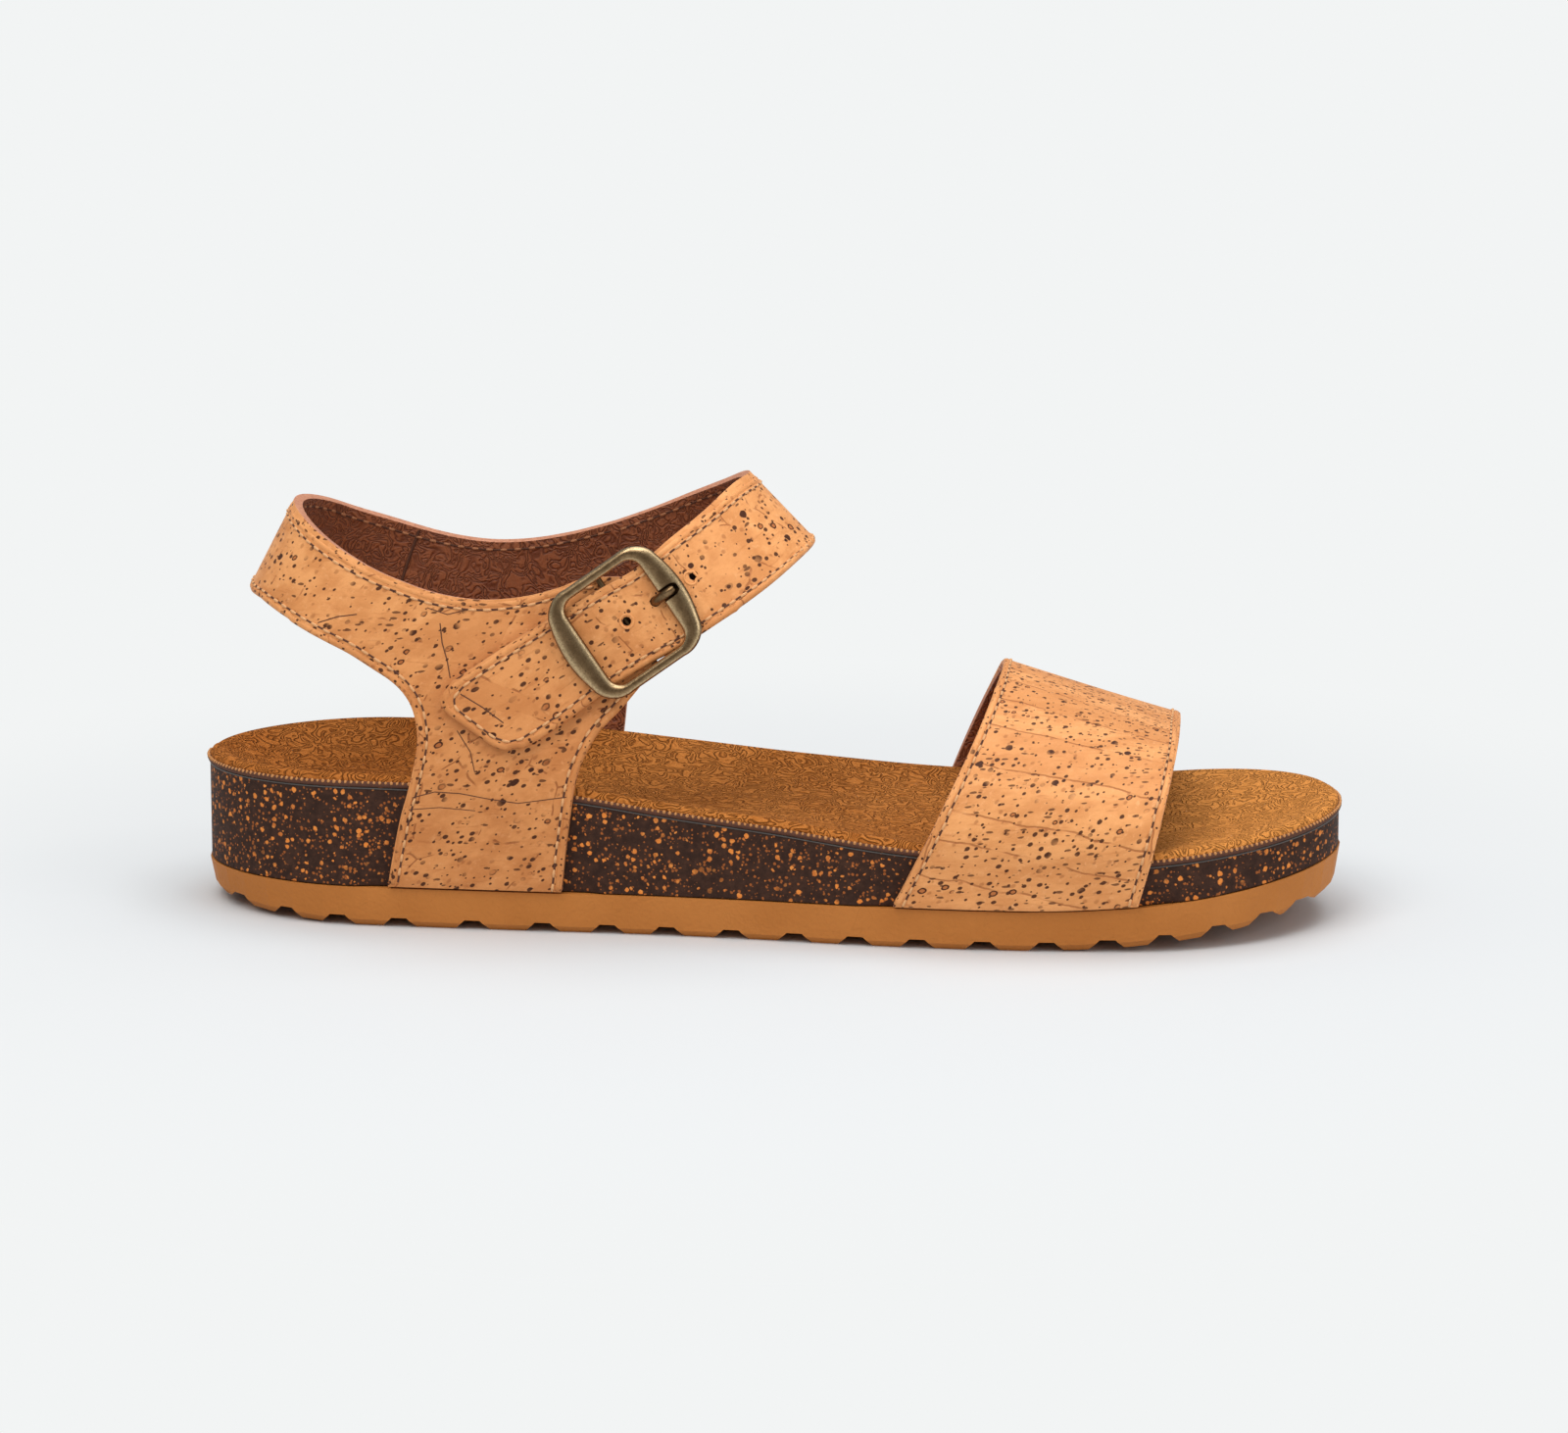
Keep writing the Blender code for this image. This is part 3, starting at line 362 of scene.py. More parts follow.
def rim_height(x, side):
    """Height of the midsole's top edge."""
    return outsole_top(x) + table_value(WALL_ROWS, x / SOLE_LENGTH, side_name(side))


def station_list(end_steps=24, middle_steps=46):
    """Stations along the sole, close together where the ends curve in."""
    turns = [1 - math.cos(math.pi / 2 * k / end_steps) for k in range(end_steps + 1)]
    heel = [HEEL_ROUND * turn for turn in turns]
    front = [SOLE_LENGTH - TOE_ROUND[LATERAL] * turn for turn in reversed(turns)]
    middle = [heel[-1] + (front[0] - heel[-1]) * k / middle_steps for k in range(1, middle_steps)]
    return heel + middle + front


def outline_ring(inset):
    """Outline points in order heel, lateral side, toe, medial side, moved inward by inset."""
    stations = station_list()
    ring = [(x, LATERAL, -half_width(x, LATERAL)) for x in stations]
    ring += [(x, MEDIAL, half_width(x, MEDIAL)) for x in reversed(stations[1:-1])]
    count = len(ring)
    moved = []
    for k, (x, side, y) in enumerate(ring):
        before, after = ring[k - 1], ring[(k + 1) % count]
        along = Vector((after[0] - before[0], after[2] - before[2])).normalized()
        moved.append((x - along.y * inset, y + along.x * inset, side))
    return moved


def shoe_shift():
    """World place of the shoe's origin, from the outsole's box."""
    low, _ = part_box("outsole")
    widest = max(half_width(x, LATERAL) for x in station_list(8, 15))
    return Vector((low.x, low.y + widest * MM, low.z))


SHIFT = shoe_shift()


def world(x, y, z):
    return Vector((x * MM, y * MM, z * MM)) + SHIFT


def paired_loft(rings):
    """Closed solid through rings of equal count, with flat-laid strips as its two caps."""
    solid = bmesh.new()
    levels = [[solid.verts.new(world(*point)) for point in ring] for ring in rings]
    count = len(rings[0])
    for lower, upper in zip(levels, levels[1:]):
        bridge(solid, lower, upper)
    pairs = [(k, count - k) for k in range(1, count // 2)]
    for level, upward in ((levels[0], False), (levels[-1], True)):
        strips = [(0, pairs[0][0], pairs[0][1])]
        strips += [(a[0], b[0], b[1], a[1]) for a, b in zip(pairs, pairs[1:])]
        strips.append((pairs[-1][0], count // 2, pairs[-1][1]))
        for strip in strips:
            corners = [level[k] for k in strip]
            solid.faces.new(corners if upward else corners[::-1])
    return solid


def bowl_depth(x, share):
    """Depth of the foot's hollow below the rim; share is 1 at the edge and 0 in the middle."""
    return table_value(WALL_ROWS, x / SOLE_LENGTH, "bowl") * (1 - share**BOWL_POWER)


def bowl_ring(share, edge_inset, raise_by):
    """Ring of the dished top, at a share of the way from the spine to the edge."""
    ring = []
    spine_start, spine_end = HEEL_ROUND * 0.8, SOLE_LENGTH - TOE_ROUND[MEDIAL]
    for x, y, side in outline_ring(edge_inset):
        spine_x = spine_start + (spine_end - spine_start) * x / SOLE_LENGTH
        ring_x = spine_x + (x - spine_x) * share
        height = rim_height(x, side) * share + rim_height(ring_x, side) * (1 - share)
        middle = (rim_height(ring_x, LATERAL) + rim_height(ring_x, MEDIAL)) / 2
        across = min(1.0, abs(y * share) / SPINE_FLAT_HALF)
        height = middle + (height - middle) * smooth_step(across)
        ring.append((ring_x, y * share, height - bowl_depth(ring_x, share) + raise_by))
    return ring


def back_x(z):
    """Inner face of the heel sling on the middle line."""
    return SLING_BACK_X + SLING_LEAN * (z - SLING_BACK_Z)


def front_x(z):
    """Inner face of the front strap on the middle line."""
    return FRONT_LOW_X - FRONT_LEAN * (z - FRONT_LOW_Z)


def flank_y(x, z, side):
    """Distance from the middle line to the inner face of the ankle upper."""
    lag = 0.0
    if x < back_x(z) + BACK_ROUND:
        lag = min(1.0, 1 - (x - back_x(z)) / BACK_ROUND)
    elif x > front_x(z) - FRONT_ROUND:
        lag = min(1.0, 1 - (front_x(z) - x) / FRONT_ROUND)
    loop = table_value(ANKLE_ROWS, z, "half_width") * math.sqrt(max(0.0, 1 - lag * lag))
    up_wall = min(1.0, max(0.0, (z - OUTSOLE_THICK) / (rim_height(x, side) - OUTSOLE_THICK)))
    inset = MIDSOLE_FOOT_INSET + (MIDSOLE_RIM_INSET - MIDSOLE_FOOT_INSET) * up_wall
    wall = half_width(min(max(x, 0.0), SOLE_LENGTH), side) - inset + GAP
    blend = smooth_step((z - LEG_BLEND_START) / (LEG_BLEND_END - LEG_BLEND_START))
    return wall * (1 - blend) + loop * blend


def heel_quarter_length():
    """Length of the quarter ellipse round one half of the heel."""
    width = ANKLE_ROWS[3].half_width
    return math.pi / 2 * math.sqrt((BACK_ROUND**2 + width**2) / 2)


QUARTER = heel_quarter_length()


def pattern_from_side(x, z, side):
    """Flat pattern coordinates of a side view point: distance round the heel, height."""
    start = back_x(z)
    if x >= start + BACK_ROUND:
        return Vector((side * (QUARTER + x - start - BACK_ROUND), z))
    angle = math.acos(min(1.0, 1 - (x - start) / BACK_ROUND))
    return Vector((side * QUARTER * angle / (math.pi / 2), z))


def ankle_point(round_heel, z):
    """Shoe position of a flat pattern point."""
    side = LATERAL if round_heel < 0 else MEDIAL
    distance = abs(round_heel)
    if distance >= QUARTER:
        x = back_x(z) + BACK_ROUND + distance - QUARTER
        return Vector((x, side * flank_y(x, z, side), z))
    angle = math.pi / 2 * distance / QUARTER
    x = back_x(z) + BACK_ROUND * (1 - math.cos(angle))
    y = table_value(ANKLE_ROWS, z, "half_width") * math.sin(angle)
    return Vector((x, side * y, z))


def edge_curve(rows, side, pieces=5):
    """Pattern points along a cut edge given in side view."""
    flat = spline_points([(row.x, row.z, 0.0) for row in rows], pieces)
    return [pattern_from_side(point.x, point.y, side) for point in flat]


def form_normal(point, side):
    """Outward direction of the foot's form near a point of the loop."""
    centre = Vector(((back_x(point.z) + front_x(point.z)) / 2, 0.0, point.z))
    reach_x = (front_x(point.z) - back_x(point.z)) / 2
    offset = point - centre
    flat_part = max(0.0, abs(offset.x) - (reach_x - FRONT_ROUND))
    lean = math.copysign(flat_part / FRONT_ROUND**2, offset.x)
    width = table_value(ANKLE_ROWS, point.z, "half_width")
    normal = Vector((lean, offset.y / width**2, 0.0))
    if normal.length == 0.0:
        normal = Vector((0.0, side, 0.0))
    return normal.normalized()


def buckle_axes():
    """Centre of the buckle on the foot's form, and its directions along, across and outward."""
    along_side = Vector((math.cos(STRAP_SLOPE), math.sin(STRAP_SLOPE)))

    def on_form(s, a):
        x = BUCKLE_X + along_side.x * s - along_side.y * a
        z = BUCKLE_Z + along_side.y * s + along_side.x * a
        return Vector((x, -flank_y(x, z, LATERAL), z))

    reach = 9.0
    along = (on_form(reach, 0) - on_form(-reach, 0)).normalized()
    across = (on_form(0, reach) - on_form(0, -reach)).normalized()
    outward = along.cross(across).normalized()
    if outward.y > 0:
        outward = -outward
    across = (across - along * across.dot(along)).normalized()
    return on_form(0, 0), along, across, outward


AXES = buckle_axes()


def buckle_spot(s, a, level):
    centre, along, across, outward = AXES
    return world(*(centre + along * s + across * a + outward * level))


# Meshes and pieces

def bridge(solid, near, far, closed=True):
    """Faces between two rows of vertices."""
    count = len(near)
    for k in range(count if closed else count - 1):
        after = (k + 1) % count
        solid.faces.new((near[k], near[after], far[after], far[k]))


def smooth(mesh, sharp_angle):
    mesh.shade_smooth()
    mesh.set_sharp_from_angle(angle=math.radians(sharp_angle))


def link(name, mesh):
    item = bpy.data.objects.new(name, mesh)
    bpy.context.scene.collection.objects.link(item)
    return item


def add_piece(name, solid, materials, nodes=(), smooth_angle=40):
    """Make a named piece from a bmesh, riding on the shoe's one body."""
    mesh = bpy.data.meshes.new(name)
    solid.to_mesh(mesh)
    solid.free()
    for material in materials:
        mesh.materials.append(material)
    smooth(mesh, smooth_angle)
    item = link(name, mesh)
    if nodes:
        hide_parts(*nodes)
    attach(item, "root")
    return item


def bake(item):
    """Put the result of an object's modifiers into its mesh."""
    bpy.context.view_layer.update()
    shaped = item.evaluated_get(bpy.context.evaluated_depsgraph_get())
    mesh = bpy.data.meshes.new_from_object(shaped)
    item.modifiers.clear()
    item.data = mesh
    smooth(mesh, BAKED_SHARP_ANGLE)


def set_uv(solid, spots, name="flat_mm"):
    """Write each vertex's flat pair of numbers as a UV map."""
    layer = solid.loops.layers.uv.new(name)
    for face in solid.faces:
        for loop in face.loops:
            loop[layer].uv = spots[loop.vert]


def soften(item, name, angle, width):
    """Round every edge that is sharper than an angle in degrees."""
    edge = item.modifiers.new(name, "BEVEL")
    edge.limit_method = "ANGLE"
    edge.angle_limit = math.radians(angle)
    edge.width = width * MM
    edge.segments = 2


def thicken(item):
    """Give a strap its wall: cork outside, lining inside and a cut edge."""
    wall = item.modifiers.new("wall", "SOLIDIFY")
    wall.thickness = WALL * MM
    wall.offset = 1.0
    wall.material_offset = 1
    wall.material_offset_rim = 2
    soften(item, "edge", 60, CUT_EDGE_ROUND)


def outward_faces(sheet):
    """Turn the surface so that its faces look away from the foot."""
    bmesh.ops.recalc_face_normals(sheet, faces=sheet.faces)
    axis = world(75.0, 0.0, 0.0)
    total = 0.0
    for face in sheet.faces:
        centre = face.calc_center_median()
        out = Vector((centre.x - axis.x, centre.y, 0.0))
        total += face.normal.dot(out.normalized()) * face.calc_area()
    if total < 0:
        bmesh.ops.reverse_faces(sheet, faces=sheet.faces)


def inside_outline(point, outline):
    inside = False
    for a, b in zip(outline, outline[1:] + outline[:1]):
        if (a.y > point.y) != (b.y > point.y):
            crossing = a.x + (point.y - a.y) * (b.x - a.x) / (b.y - a.y)
            if point.x < crossing:
                inside = not inside
    return inside


def strap_sections():
    junction = StrapRow(MEDIAL, MEDIAL_TOP[-1].x, MEDIAL_TOP[-1].z, MEDIAL_FRONT[0].x, MEDIAL_FRONT[0].z, 0.0)
    return (junction,) + STRAP_ROWS


def section_point(row, share):
    """Inner face point of a strap section; share runs from the bottom edge to the top edge."""
    x = row.bottom_x + (row.top_x - row.bottom_x) * share
    z = row.bottom_z + (row.top_z - row.bottom_z) * share
    inward = Vector((x, row.side * flank_y(x, z, row.side), z))
    return inward + form_normal(inward, row.side) * row.lift


def strap_rail(share):
    return [section_point(row, share) for row in strap_sections()]


def tip_share(share):
    """How far the last span of the strap reaches at a share across it, with rounded corners."""
    over = (abs(share - 0.5) - (0.5 - TIP_ROUND_ACROSS)) / TIP_ROUND_ACROSS
    if over <= 0:
        return 1.0
    return 1 - TIP_ROUND_ALONG * (1 - math.sqrt(max(0.0, 1 - min(over, 1.0) ** 2)))


def tab_corners():
    """Pattern points of the lateral tab under the buckle's centre bar."""
    end, half = 4.0, STRAP_WIDTH / 2 - 1.0
    slot_back, slot_half = -2.4, 2.0
    points = []
    corners = (
        (end, -half), (end, -slot_half), (slot_back, -slot_half), (slot_back, slot_half),
        (end, slot_half), (end, half),
    )
    for s, a in corners:
        x = BUCKLE_X + math.cos(STRAP_SLOPE) * s - math.sin(STRAP_SLOPE) * a
        z = BUCKLE_Z + math.sin(STRAP_SLOPE) * s + math.cos(STRAP_SLOPE) * a
        points.append(pattern_from_side(x, z, LATERAL))
    return points


def straight_steps(start, end, side, steps):
    points = []
    for k in range(1, steps):
        x = start.x + (end.x - start.x) * k / steps
        z = start.z + (end.z - start.z) * k / steps
        points.append(pattern_from_side(x, z, side))
    return points


def pattern_steps(start, end, steps=8):
    """Even pattern points from a start up to, but not including, an end."""
    return [start.lerp(end, k / steps) for k in range(steps)]


def top_edge():
    """Pattern points of the collar's top edge, rounded behind the heel."""
    lateral, medial = edge_curve(LATERAL_TOP, LATERAL), edge_curve(MEDIAL_TOP, MEDIAL)
    centre = Vector((0.0, SLING_HIGH))
    pull = centre * 2 - (lateral[-1] + medial[0]) / 2
    steps = 16
    arch = []
    for k in range(1, steps):
        t = k / steps
        arch.append(lateral[-1] * (1 - t) ** 2 + pull * (2 * t * (1 - t)) + medial[0] * t**2)
    return lateral + arch + medial


def upper_outline():
    """Closed outline of the quarters and the heel sling on the flat pattern."""
    sling_middle = Vector((0.0, SLING_LOW))
    outline = pattern_steps(sling_middle, pattern_from_side(*LATERAL_REAR[0], LATERAL))
    outline += edge_curve(LATERAL_REAR, LATERAL)
    outline += straight_steps(LATERAL_REAR[-1], LATERAL_FRONT[0], LATERAL, 14)
    outline += edge_curve(LATERAL_FRONT, LATERAL)
    outline += tab_corners()
    outline += top_edge()
    outline += straight_steps(MEDIAL_TOP[-1], MEDIAL_FRONT[0], MEDIAL, STRAP_STEPS)
    outline += edge_curve(MEDIAL_FRONT, MEDIAL)
    outline += straight_steps(MEDIAL_FRONT[-1], MEDIAL_REAR[0], MEDIAL, 14)
    outline += edge_curve(MEDIAL_REAR, MEDIAL)
    outline += pattern_steps(pattern_from_side(*MEDIAL_REAR[-1], MEDIAL), sling_middle)[1:]
    return outline


def points_inside(outline, spacing):
    """Staggered rows of points inside an outline, clear of its edge."""
    low_x, high_x = min(p.x for p in outline), max(p.x for p in outline)
    low_z, high_z = min(p.y for p in outline), max(p.y for p in outline)
    inner = []
    for row in range(1, int((high_z - low_z) / spacing) + 1):
        for column in range(int((high_x - low_x) / spacing) + 1):
            shift = 0.5 * (row % 2)
            point = Vector((low_x + (column + shift) * spacing, low_z + row * spacing))
            gap = min((point - edge).length for edge in outline)
            if gap > 0.5 * spacing and inside_outline(point, outline):
                inner.append(point)
    return inner


def quarter_sheet(outline):
    """Triangulated quarters and sling on the foot's form, with their flat places."""
    count = len(outline)
    edges = [(k, (k + 1) % count) for k in range(count)]
    inner = points_inside(outline, PATTERN_SPACING)
    flat, _, faces, _, _, _ = delaunay_2d_cdt(outline + inner, edges, [], 1, 1e-6)
    sheet = bmesh.new()
    verts = [sheet.verts.new(world(*ankle_point(p.x, p.y))) for p in flat]
    spots = {vert: (p.x, p.y) for vert, p in zip(verts, flat)}
    for face in faces:
        sheet.faces.new([verts[k] for k in face])
    bmesh.ops.delete(sheet, geom=[v for v in sheet.verts if not v.link_faces], context="VERTS")
    return sheet, spots


def add_front_strap(sheet, spots):
    """Front strap from the medial quarter round the instep to its free tip."""
    rails = [strap_rail(k / STRAP_STEPS) for k in range(STRAP_STEPS + 1)]
    spans = len(rails[0]) - 1
    grid = []
    for j in range(spans * SPAN_STEPS + 1):
        line = []
        for k, rail in enumerate(rails):
            t = j / SPAN_STEPS
            if t > spans - 1:
                t = spans - 1 + (t - spans + 1) * tip_share(k / STRAP_STEPS)
            vert = sheet.verts.new(world(*spline_at(rail, t)))
            spots[vert] = (STRAP_FLAT_START + t * STRAP_FLAT_SPAN, k / STRAP_STEPS * STRAP_WIDTH)
            line.append(vert)
        grid.append(line)
    for near, far in zip(grid, grid[1:]):
        bridge(sheet, near, far, closed=False)


def build_ankle_upper(materials):
    """Quarters, heel sling and front strap as one open surface with a solid wall."""
    sheet, spots = quarter_sheet(upper_outline())
    add_front_strap(sheet, spots)
    set_uv(sheet, spots)
    bmesh.ops.remove_doubles(sheet, verts=sheet.verts, dist=0.02 * MM)
    outward_faces(sheet)
    upper = add_piece("ankle_upper_cork", sheet, materials, ("ankle_upper",))
    thicken(upper)
    # Painted shade: the cut walls of the holes and the slot take this near-black material.
    hole_wall_painted_shade = materials[3]
    cutters = [rod("slot_cutter", prong_path(SLOT_OVERRUN), PRONG_RADIUS + SLOT_CLEARANCE, hole_wall_painted_shade)]
    for s in HOLE_SPOTS:
        ends = [buckle_spot(s, 0.0, level) for level in (HOLE_FROM, HOLE_TO)]
        cutters.append(rod("hole_cutter", ends, HOLE_RADIUS, hole_wall_painted_shade))
    for cutter in cutters:
        cut_with(upper, cutter)
    bake(upper)
    return upper


def cut_with(target, cutter, operation="DIFFERENCE"):
    cut = target.modifiers.new(cutter.name, "BOOLEAN")
    cut.operation = operation
    cut.solver = "EXACT"
    cut.object = cutter
    bake(target)
    bpy.data.objects.remove(cutter, do_unlink=True)


def prong_path(overrun=0.0):
    """Middle line of the prong from its eye, up through the strap and onto the front end bar."""
    steps = PRONG_STEPS + ((PRONG_END + overrun, PRONG_END_LEVEL),)
    path = spline_points([(s, level, 0.0) for s, level in steps], 4)
    return [buckle_spot(p.x, 0.0, p.y) for p in path]


def rod(name, points, radius, material, sides=16, shares=None):
    """Round rod along a path, closed by flat ends."""
    solid = bmesh.new()
    tube(solid, points, radius, sides, shares=shares)
    bmesh.ops.recalc_face_normals(solid, faces=solid.faces)
    mesh = bpy.data.meshes.new(name)
    solid.to_mesh(mesh)
    solid.free()
    mesh.materials.append(material)
    smooth(mesh, METAL_SHARP_ANGLE)
    return link(name, mesh)


def tube(solid, points, radius, sides, closed=False, shares=None):
    """Add a tube through points; shares scale the radius at each point."""
    rings = []
    count = len(points)
    side_axis = None
    for k, point in enumerate(points):
        before = points[k - 1] if closed or k > 0 else points[k]
        after = points[(k + 1) % count] if closed or k < count - 1 else points[k]
        along = (after - before).normalized()
        if side_axis is None:
            side_axis = along.orthogonal().normalized()
        side_axis = (side_axis - along * side_axis.dot(along)).normalized()
        other = along.cross(side_axis)
        reach = radius * MM * (shares[k] if shares else 1.0)
        ring = []
        for j in range(sides):
            turn = 2 * math.pi * j / sides
            outward = side_axis * math.cos(turn) + other * math.sin(turn)
            ring.append(solid.verts.new(point + outward * reach))
        rings.append(ring)
    for near, far in zip(rings, rings[1:]):
        bridge(solid, near, far)
    if closed:
        bridge(solid, rings[-1], rings[0])
    else:
        solid.faces.new(rings[0][::-1])
        solid.faces.new(rings[-1])


# Toe strap

def toe_wall_point(base_x, top_x, top_z, z, side, rim):
    """Point of the toe strap on the midsole's wall."""
    x = base_x + (top_x - base_x) * (z - TOE_BASE_Z) / (top_z - TOE_BASE_Z)
    up_wall = min(1.0, (z - OUTSOLE_THICK) / (rim - OUTSOLE_THICK))
    inset = MIDSOLE_FOOT_INSET + (MIDSOLE_RIM_INSET - MIDSOLE_FOOT_INSET) * up_wall
    return Vector((x, side * (half_width(x, side) - inset + GAP + TOE_CLEARANCE * up_wall), z))


def toe_section(v, wall_steps=8, arch_steps=40):
    """Inner face of the toe strap at a share v of the way from its back to its front edge."""
    lateral_x, medial_x, top_x, top_z, fullness = (a + (b - a) * v for a, b in zip(TOE_BACK, TOE_FRONT))
    halves = []
    for side in (LATERAL, MEDIAL):
        base_x = lateral_x if side == LATERAL else medial_x
        rim = rim_height(base_x, side) + FOOTBED_EDGE + 0.6
        column = []
        for k in range(wall_steps):
            z = TOE_BASE_Z + tread_height(base_x) + (rim - TOE_BASE_Z) * k / wall_steps
            column.append(toe_wall_point(base_x, top_x, top_z, z, side, rim))
        for k in range(arch_steps + 1):
            angle = math.pi / 2 * k / arch_steps
            z = rim + (top_z - rim) * math.sin(angle) ** (2 / fullness)
            x = base_x + (top_x - base_x) * (z - TOE_BASE_Z) / (top_z - TOE_BASE_Z)
            width = half_width(x, side) - MIDSOLE_RIM_INSET + GAP + TOE_CLEARANCE
            column.append(Vector((x, side * width * math.cos(angle) ** (2 / fullness), z)))
        halves.append(column)
    return halves[0] + halves[1][-2::-1]


def build_toe_strap(materials):
    """Wide band over the toes as an open surface with a solid wall."""
    sheet = bmesh.new()
    spots = {}
    grid = []
    for j in range(TOE_STEPS + 1):
        column = toe_section(j / TOE_STEPS)
        line = []
        run = 0.0
        for k, point in enumerate(column):
            run += (point - column[k - 1]).length if k else 0.0
            vert = sheet.verts.new(world(*point))
            spots[vert] = (TOE_FLAT_START + j / TOE_STEPS * TOE_FLAT_LENGTH, run)
            line.append(vert)
        grid.append(line)
    for back, front in zip(grid, grid[1:]):
        for k in range(len(back) - 1):
            sheet.faces.new((back[k], front[k], front[k + 1], back[k + 1]))
    set_uv(sheet, spots)
    strap = add_piece("toe_strap_cork", sheet, materials, ("toe_strap",))
    thicken(strap)
    bake(strap)
    return strap


# Stitching and cracks, in side view

Crack = namedtuple("Crack", "side lift radius points")
CRACKS = (
    Crack(LATERAL, WALL, 0.16, ((57.9, 68.7), (58.4, 64.5), (59.6, 60.5), (60.3, 56.9))),
    Crack(LATERAL, WALL, 0.15, ((31.2, 68.0), (35.5, 69.6), (39.6, 70.3))),
    Crack(LATERAL, WALL, 0.12, ((55.0, 72.0), (59.5, 70.6), (63.4, 71.6))),
    Crack(LATERAL, WALL, 0.13, (
        (51.9, 30.4), (57.0, 31.9), (62.7, 31.7), (69.5, 30.6), (75.6, 29.9), (86.4, 31.6),
    )),
    Crack(LATERAL, WALL, 0.11, ((50.6, 27.6), (58.0, 28.4), (66.0, 27.9))),
    Crack(LATERAL, WALL, 0.13, ((62.0, 45.6), (65.0, 41.0), (66.0, 36.5))),
    Crack(LATERAL, WALL + 2.5, 0.15, ((63.0, 54.0), (68.0, 51.2), (72.6, 48.0))),
    Crack(MEDIAL, LINING_LIFT, 0.4, ((44.5, 79.0), (42.5, 74.0), (39.8, 66.5))),
)
CRACK_STEPS = 6
CRACK_SUNK_SHARE = 0.4
LAID_REACH = 4.0


def right_of(path, inset):
    """Pattern path moved to its right."""
    moved = []
    for k, point in enumerate(path):
        before, after = path[max(k - 1, 0)], path[min(k + 1, len(path) - 1)]
        along = (after - before).normalized()
        moved.append(Vector((point.x + along.y * inset, point.y - along.x * inset)))
    return moved


def surface_tree(item, material_index):
    """Search tree of one face of a strap, by its material."""
    mesh = item.data
    corners = [vert.co.copy() for vert in mesh.vertices]
    faces = [tuple(face.vertices) for face in mesh.polygons if face.material_index == material_index]
    return BVHTree.FromPolygons(corners, faces)


def laid_on(tree, points):
    """Nearest surface points and their normals."""
    laid = []
    for point in points:
        spot, normal, _, distance = tree.find_nearest(point)
        if spot is not None and distance < LAID_REACH * MM:
            laid.append((spot, normal))
    return laid


def resample(laid, step):
    """Even steps in millimetres along a laid path."""
    result = []
    carry = 0.0
    for (a, normal), (b, _) in zip(laid, laid[1:]):
        length = (b - a).length / MM
        while carry < length:
            result.append((a.lerp(b, carry / length), normal))
            carry += step
        carry -= length
    return result


def sew(threads, grooves, tree, points, rise=0.05):
    """Lay a sunk dark line and raised thread dashes along points near a surface."""
    laid = laid_on(tree, points)
    if len(laid) < 3:
        return
    line = resample(laid, SEAM_STEP)
    tube(grooves, [spot - normal * SEAM_SUNK * MM for spot, normal in line], SEAM_RADIUS, 5)
    fine = resample(laid, STITCH_PITCH / STITCH_STEPS)
    run = int(round(STITCH_LENGTH / STITCH_PITCH * STITCH_STEPS))
    for start in range(0, len(fine) - run, STITCH_STEPS):
        spots, shares = [], []
        for k, (spot, normal) in enumerate(fine[start:start + run + 1]):
            hump = math.sin(math.pi * k / run)
            spots.append(spot + normal * (rise + THREAD_HUMP * hump - THREAD_SUNK) * MM)
            shares.append(THREAD_TIP + (1 - THREAD_TIP) * hump)
        tube(threads, spots, THREAD_RADIUS, 6, shares=shares)


def roll_edge(bands, spots, tree, points):
    """Puffed band of cork fabric between a strap's stitch line and its cut edge."""
    laid = resample(laid_on(tree, points), ROLL_STEP)
    if len(laid) < 3:
        return
    before = len(bands.verts)
    tube(bands, [spot - normal * ROLL_SUNK * MM for spot, normal in laid], ROLL_RADIUS, ROLL_SIDES)
    bands.verts.ensure_lookup_table()
    for k, vert in enumerate(bands.verts[before:]):
        ring, place = divmod(k, ROLL_SIDES)
        spots[vert] = (BAND_FLAT_START + ROLL_STEP * ring, BAND_FLAT_WIDTH * abs(place - ROLL_SIDES // 2))


def outward_from_pattern(path, lift):
    """Points of a pattern path moved off the foot's form."""
    points = []
    for p in path:
        inner = ankle_point(p.x, p.y)
        side = LATERAL if p.x < 0 else MEDIAL
        if abs(p.x) < QUARTER:
            angle = math.pi / 2 * abs(p.x) / QUARTER
            normal = Vector((-math.cos(angle), side * math.sin(angle), 0.0))
        else:
            normal = Vector((0.0, side, 0.0))
        points.append(world(*(inner + normal * lift)))
    return points


def strap_path(edge_gap):
    """Line beside the front strap's edges: along its top, round the tip and back below."""
    inset = edge_gap / STRAP_WIDTH
    last_length = 17.0
    corner_along, corner_across = 0.16, 0.2
    end = len(STRAP_ROWS) - edge_gap / last_length
    low, high = strap_rail(inset), strap_rail(1 - inset)
    steps, tip_steps = 16, 20
    top = [spline_at(high, k / steps) for k in range(int((end - corner_along) * steps))]
    bottom = [spline_at(low, k / steps) for k in range(int((end - corner_along) * steps))]
    corner = []
    for k in range(1, tip_steps):
        share = 1 - inset - (1 - 2 * inset) * k / tip_steps
        edge = min(share - inset, 1 - inset - share) / corner_across
        pull = corner_along * (1 - min(1.0, edge)) ** 2
        corner.append(spline_at(strap_rail(share), end - pull))
    return top + corner + bottom[::-1]


def lifted(points, lift):
    moved = []
    for point in points:
        side = LATERAL if point.y < 0 else MEDIAL
        moved.append(world(*(point + form_normal(point, side) * lift)))
    return moved


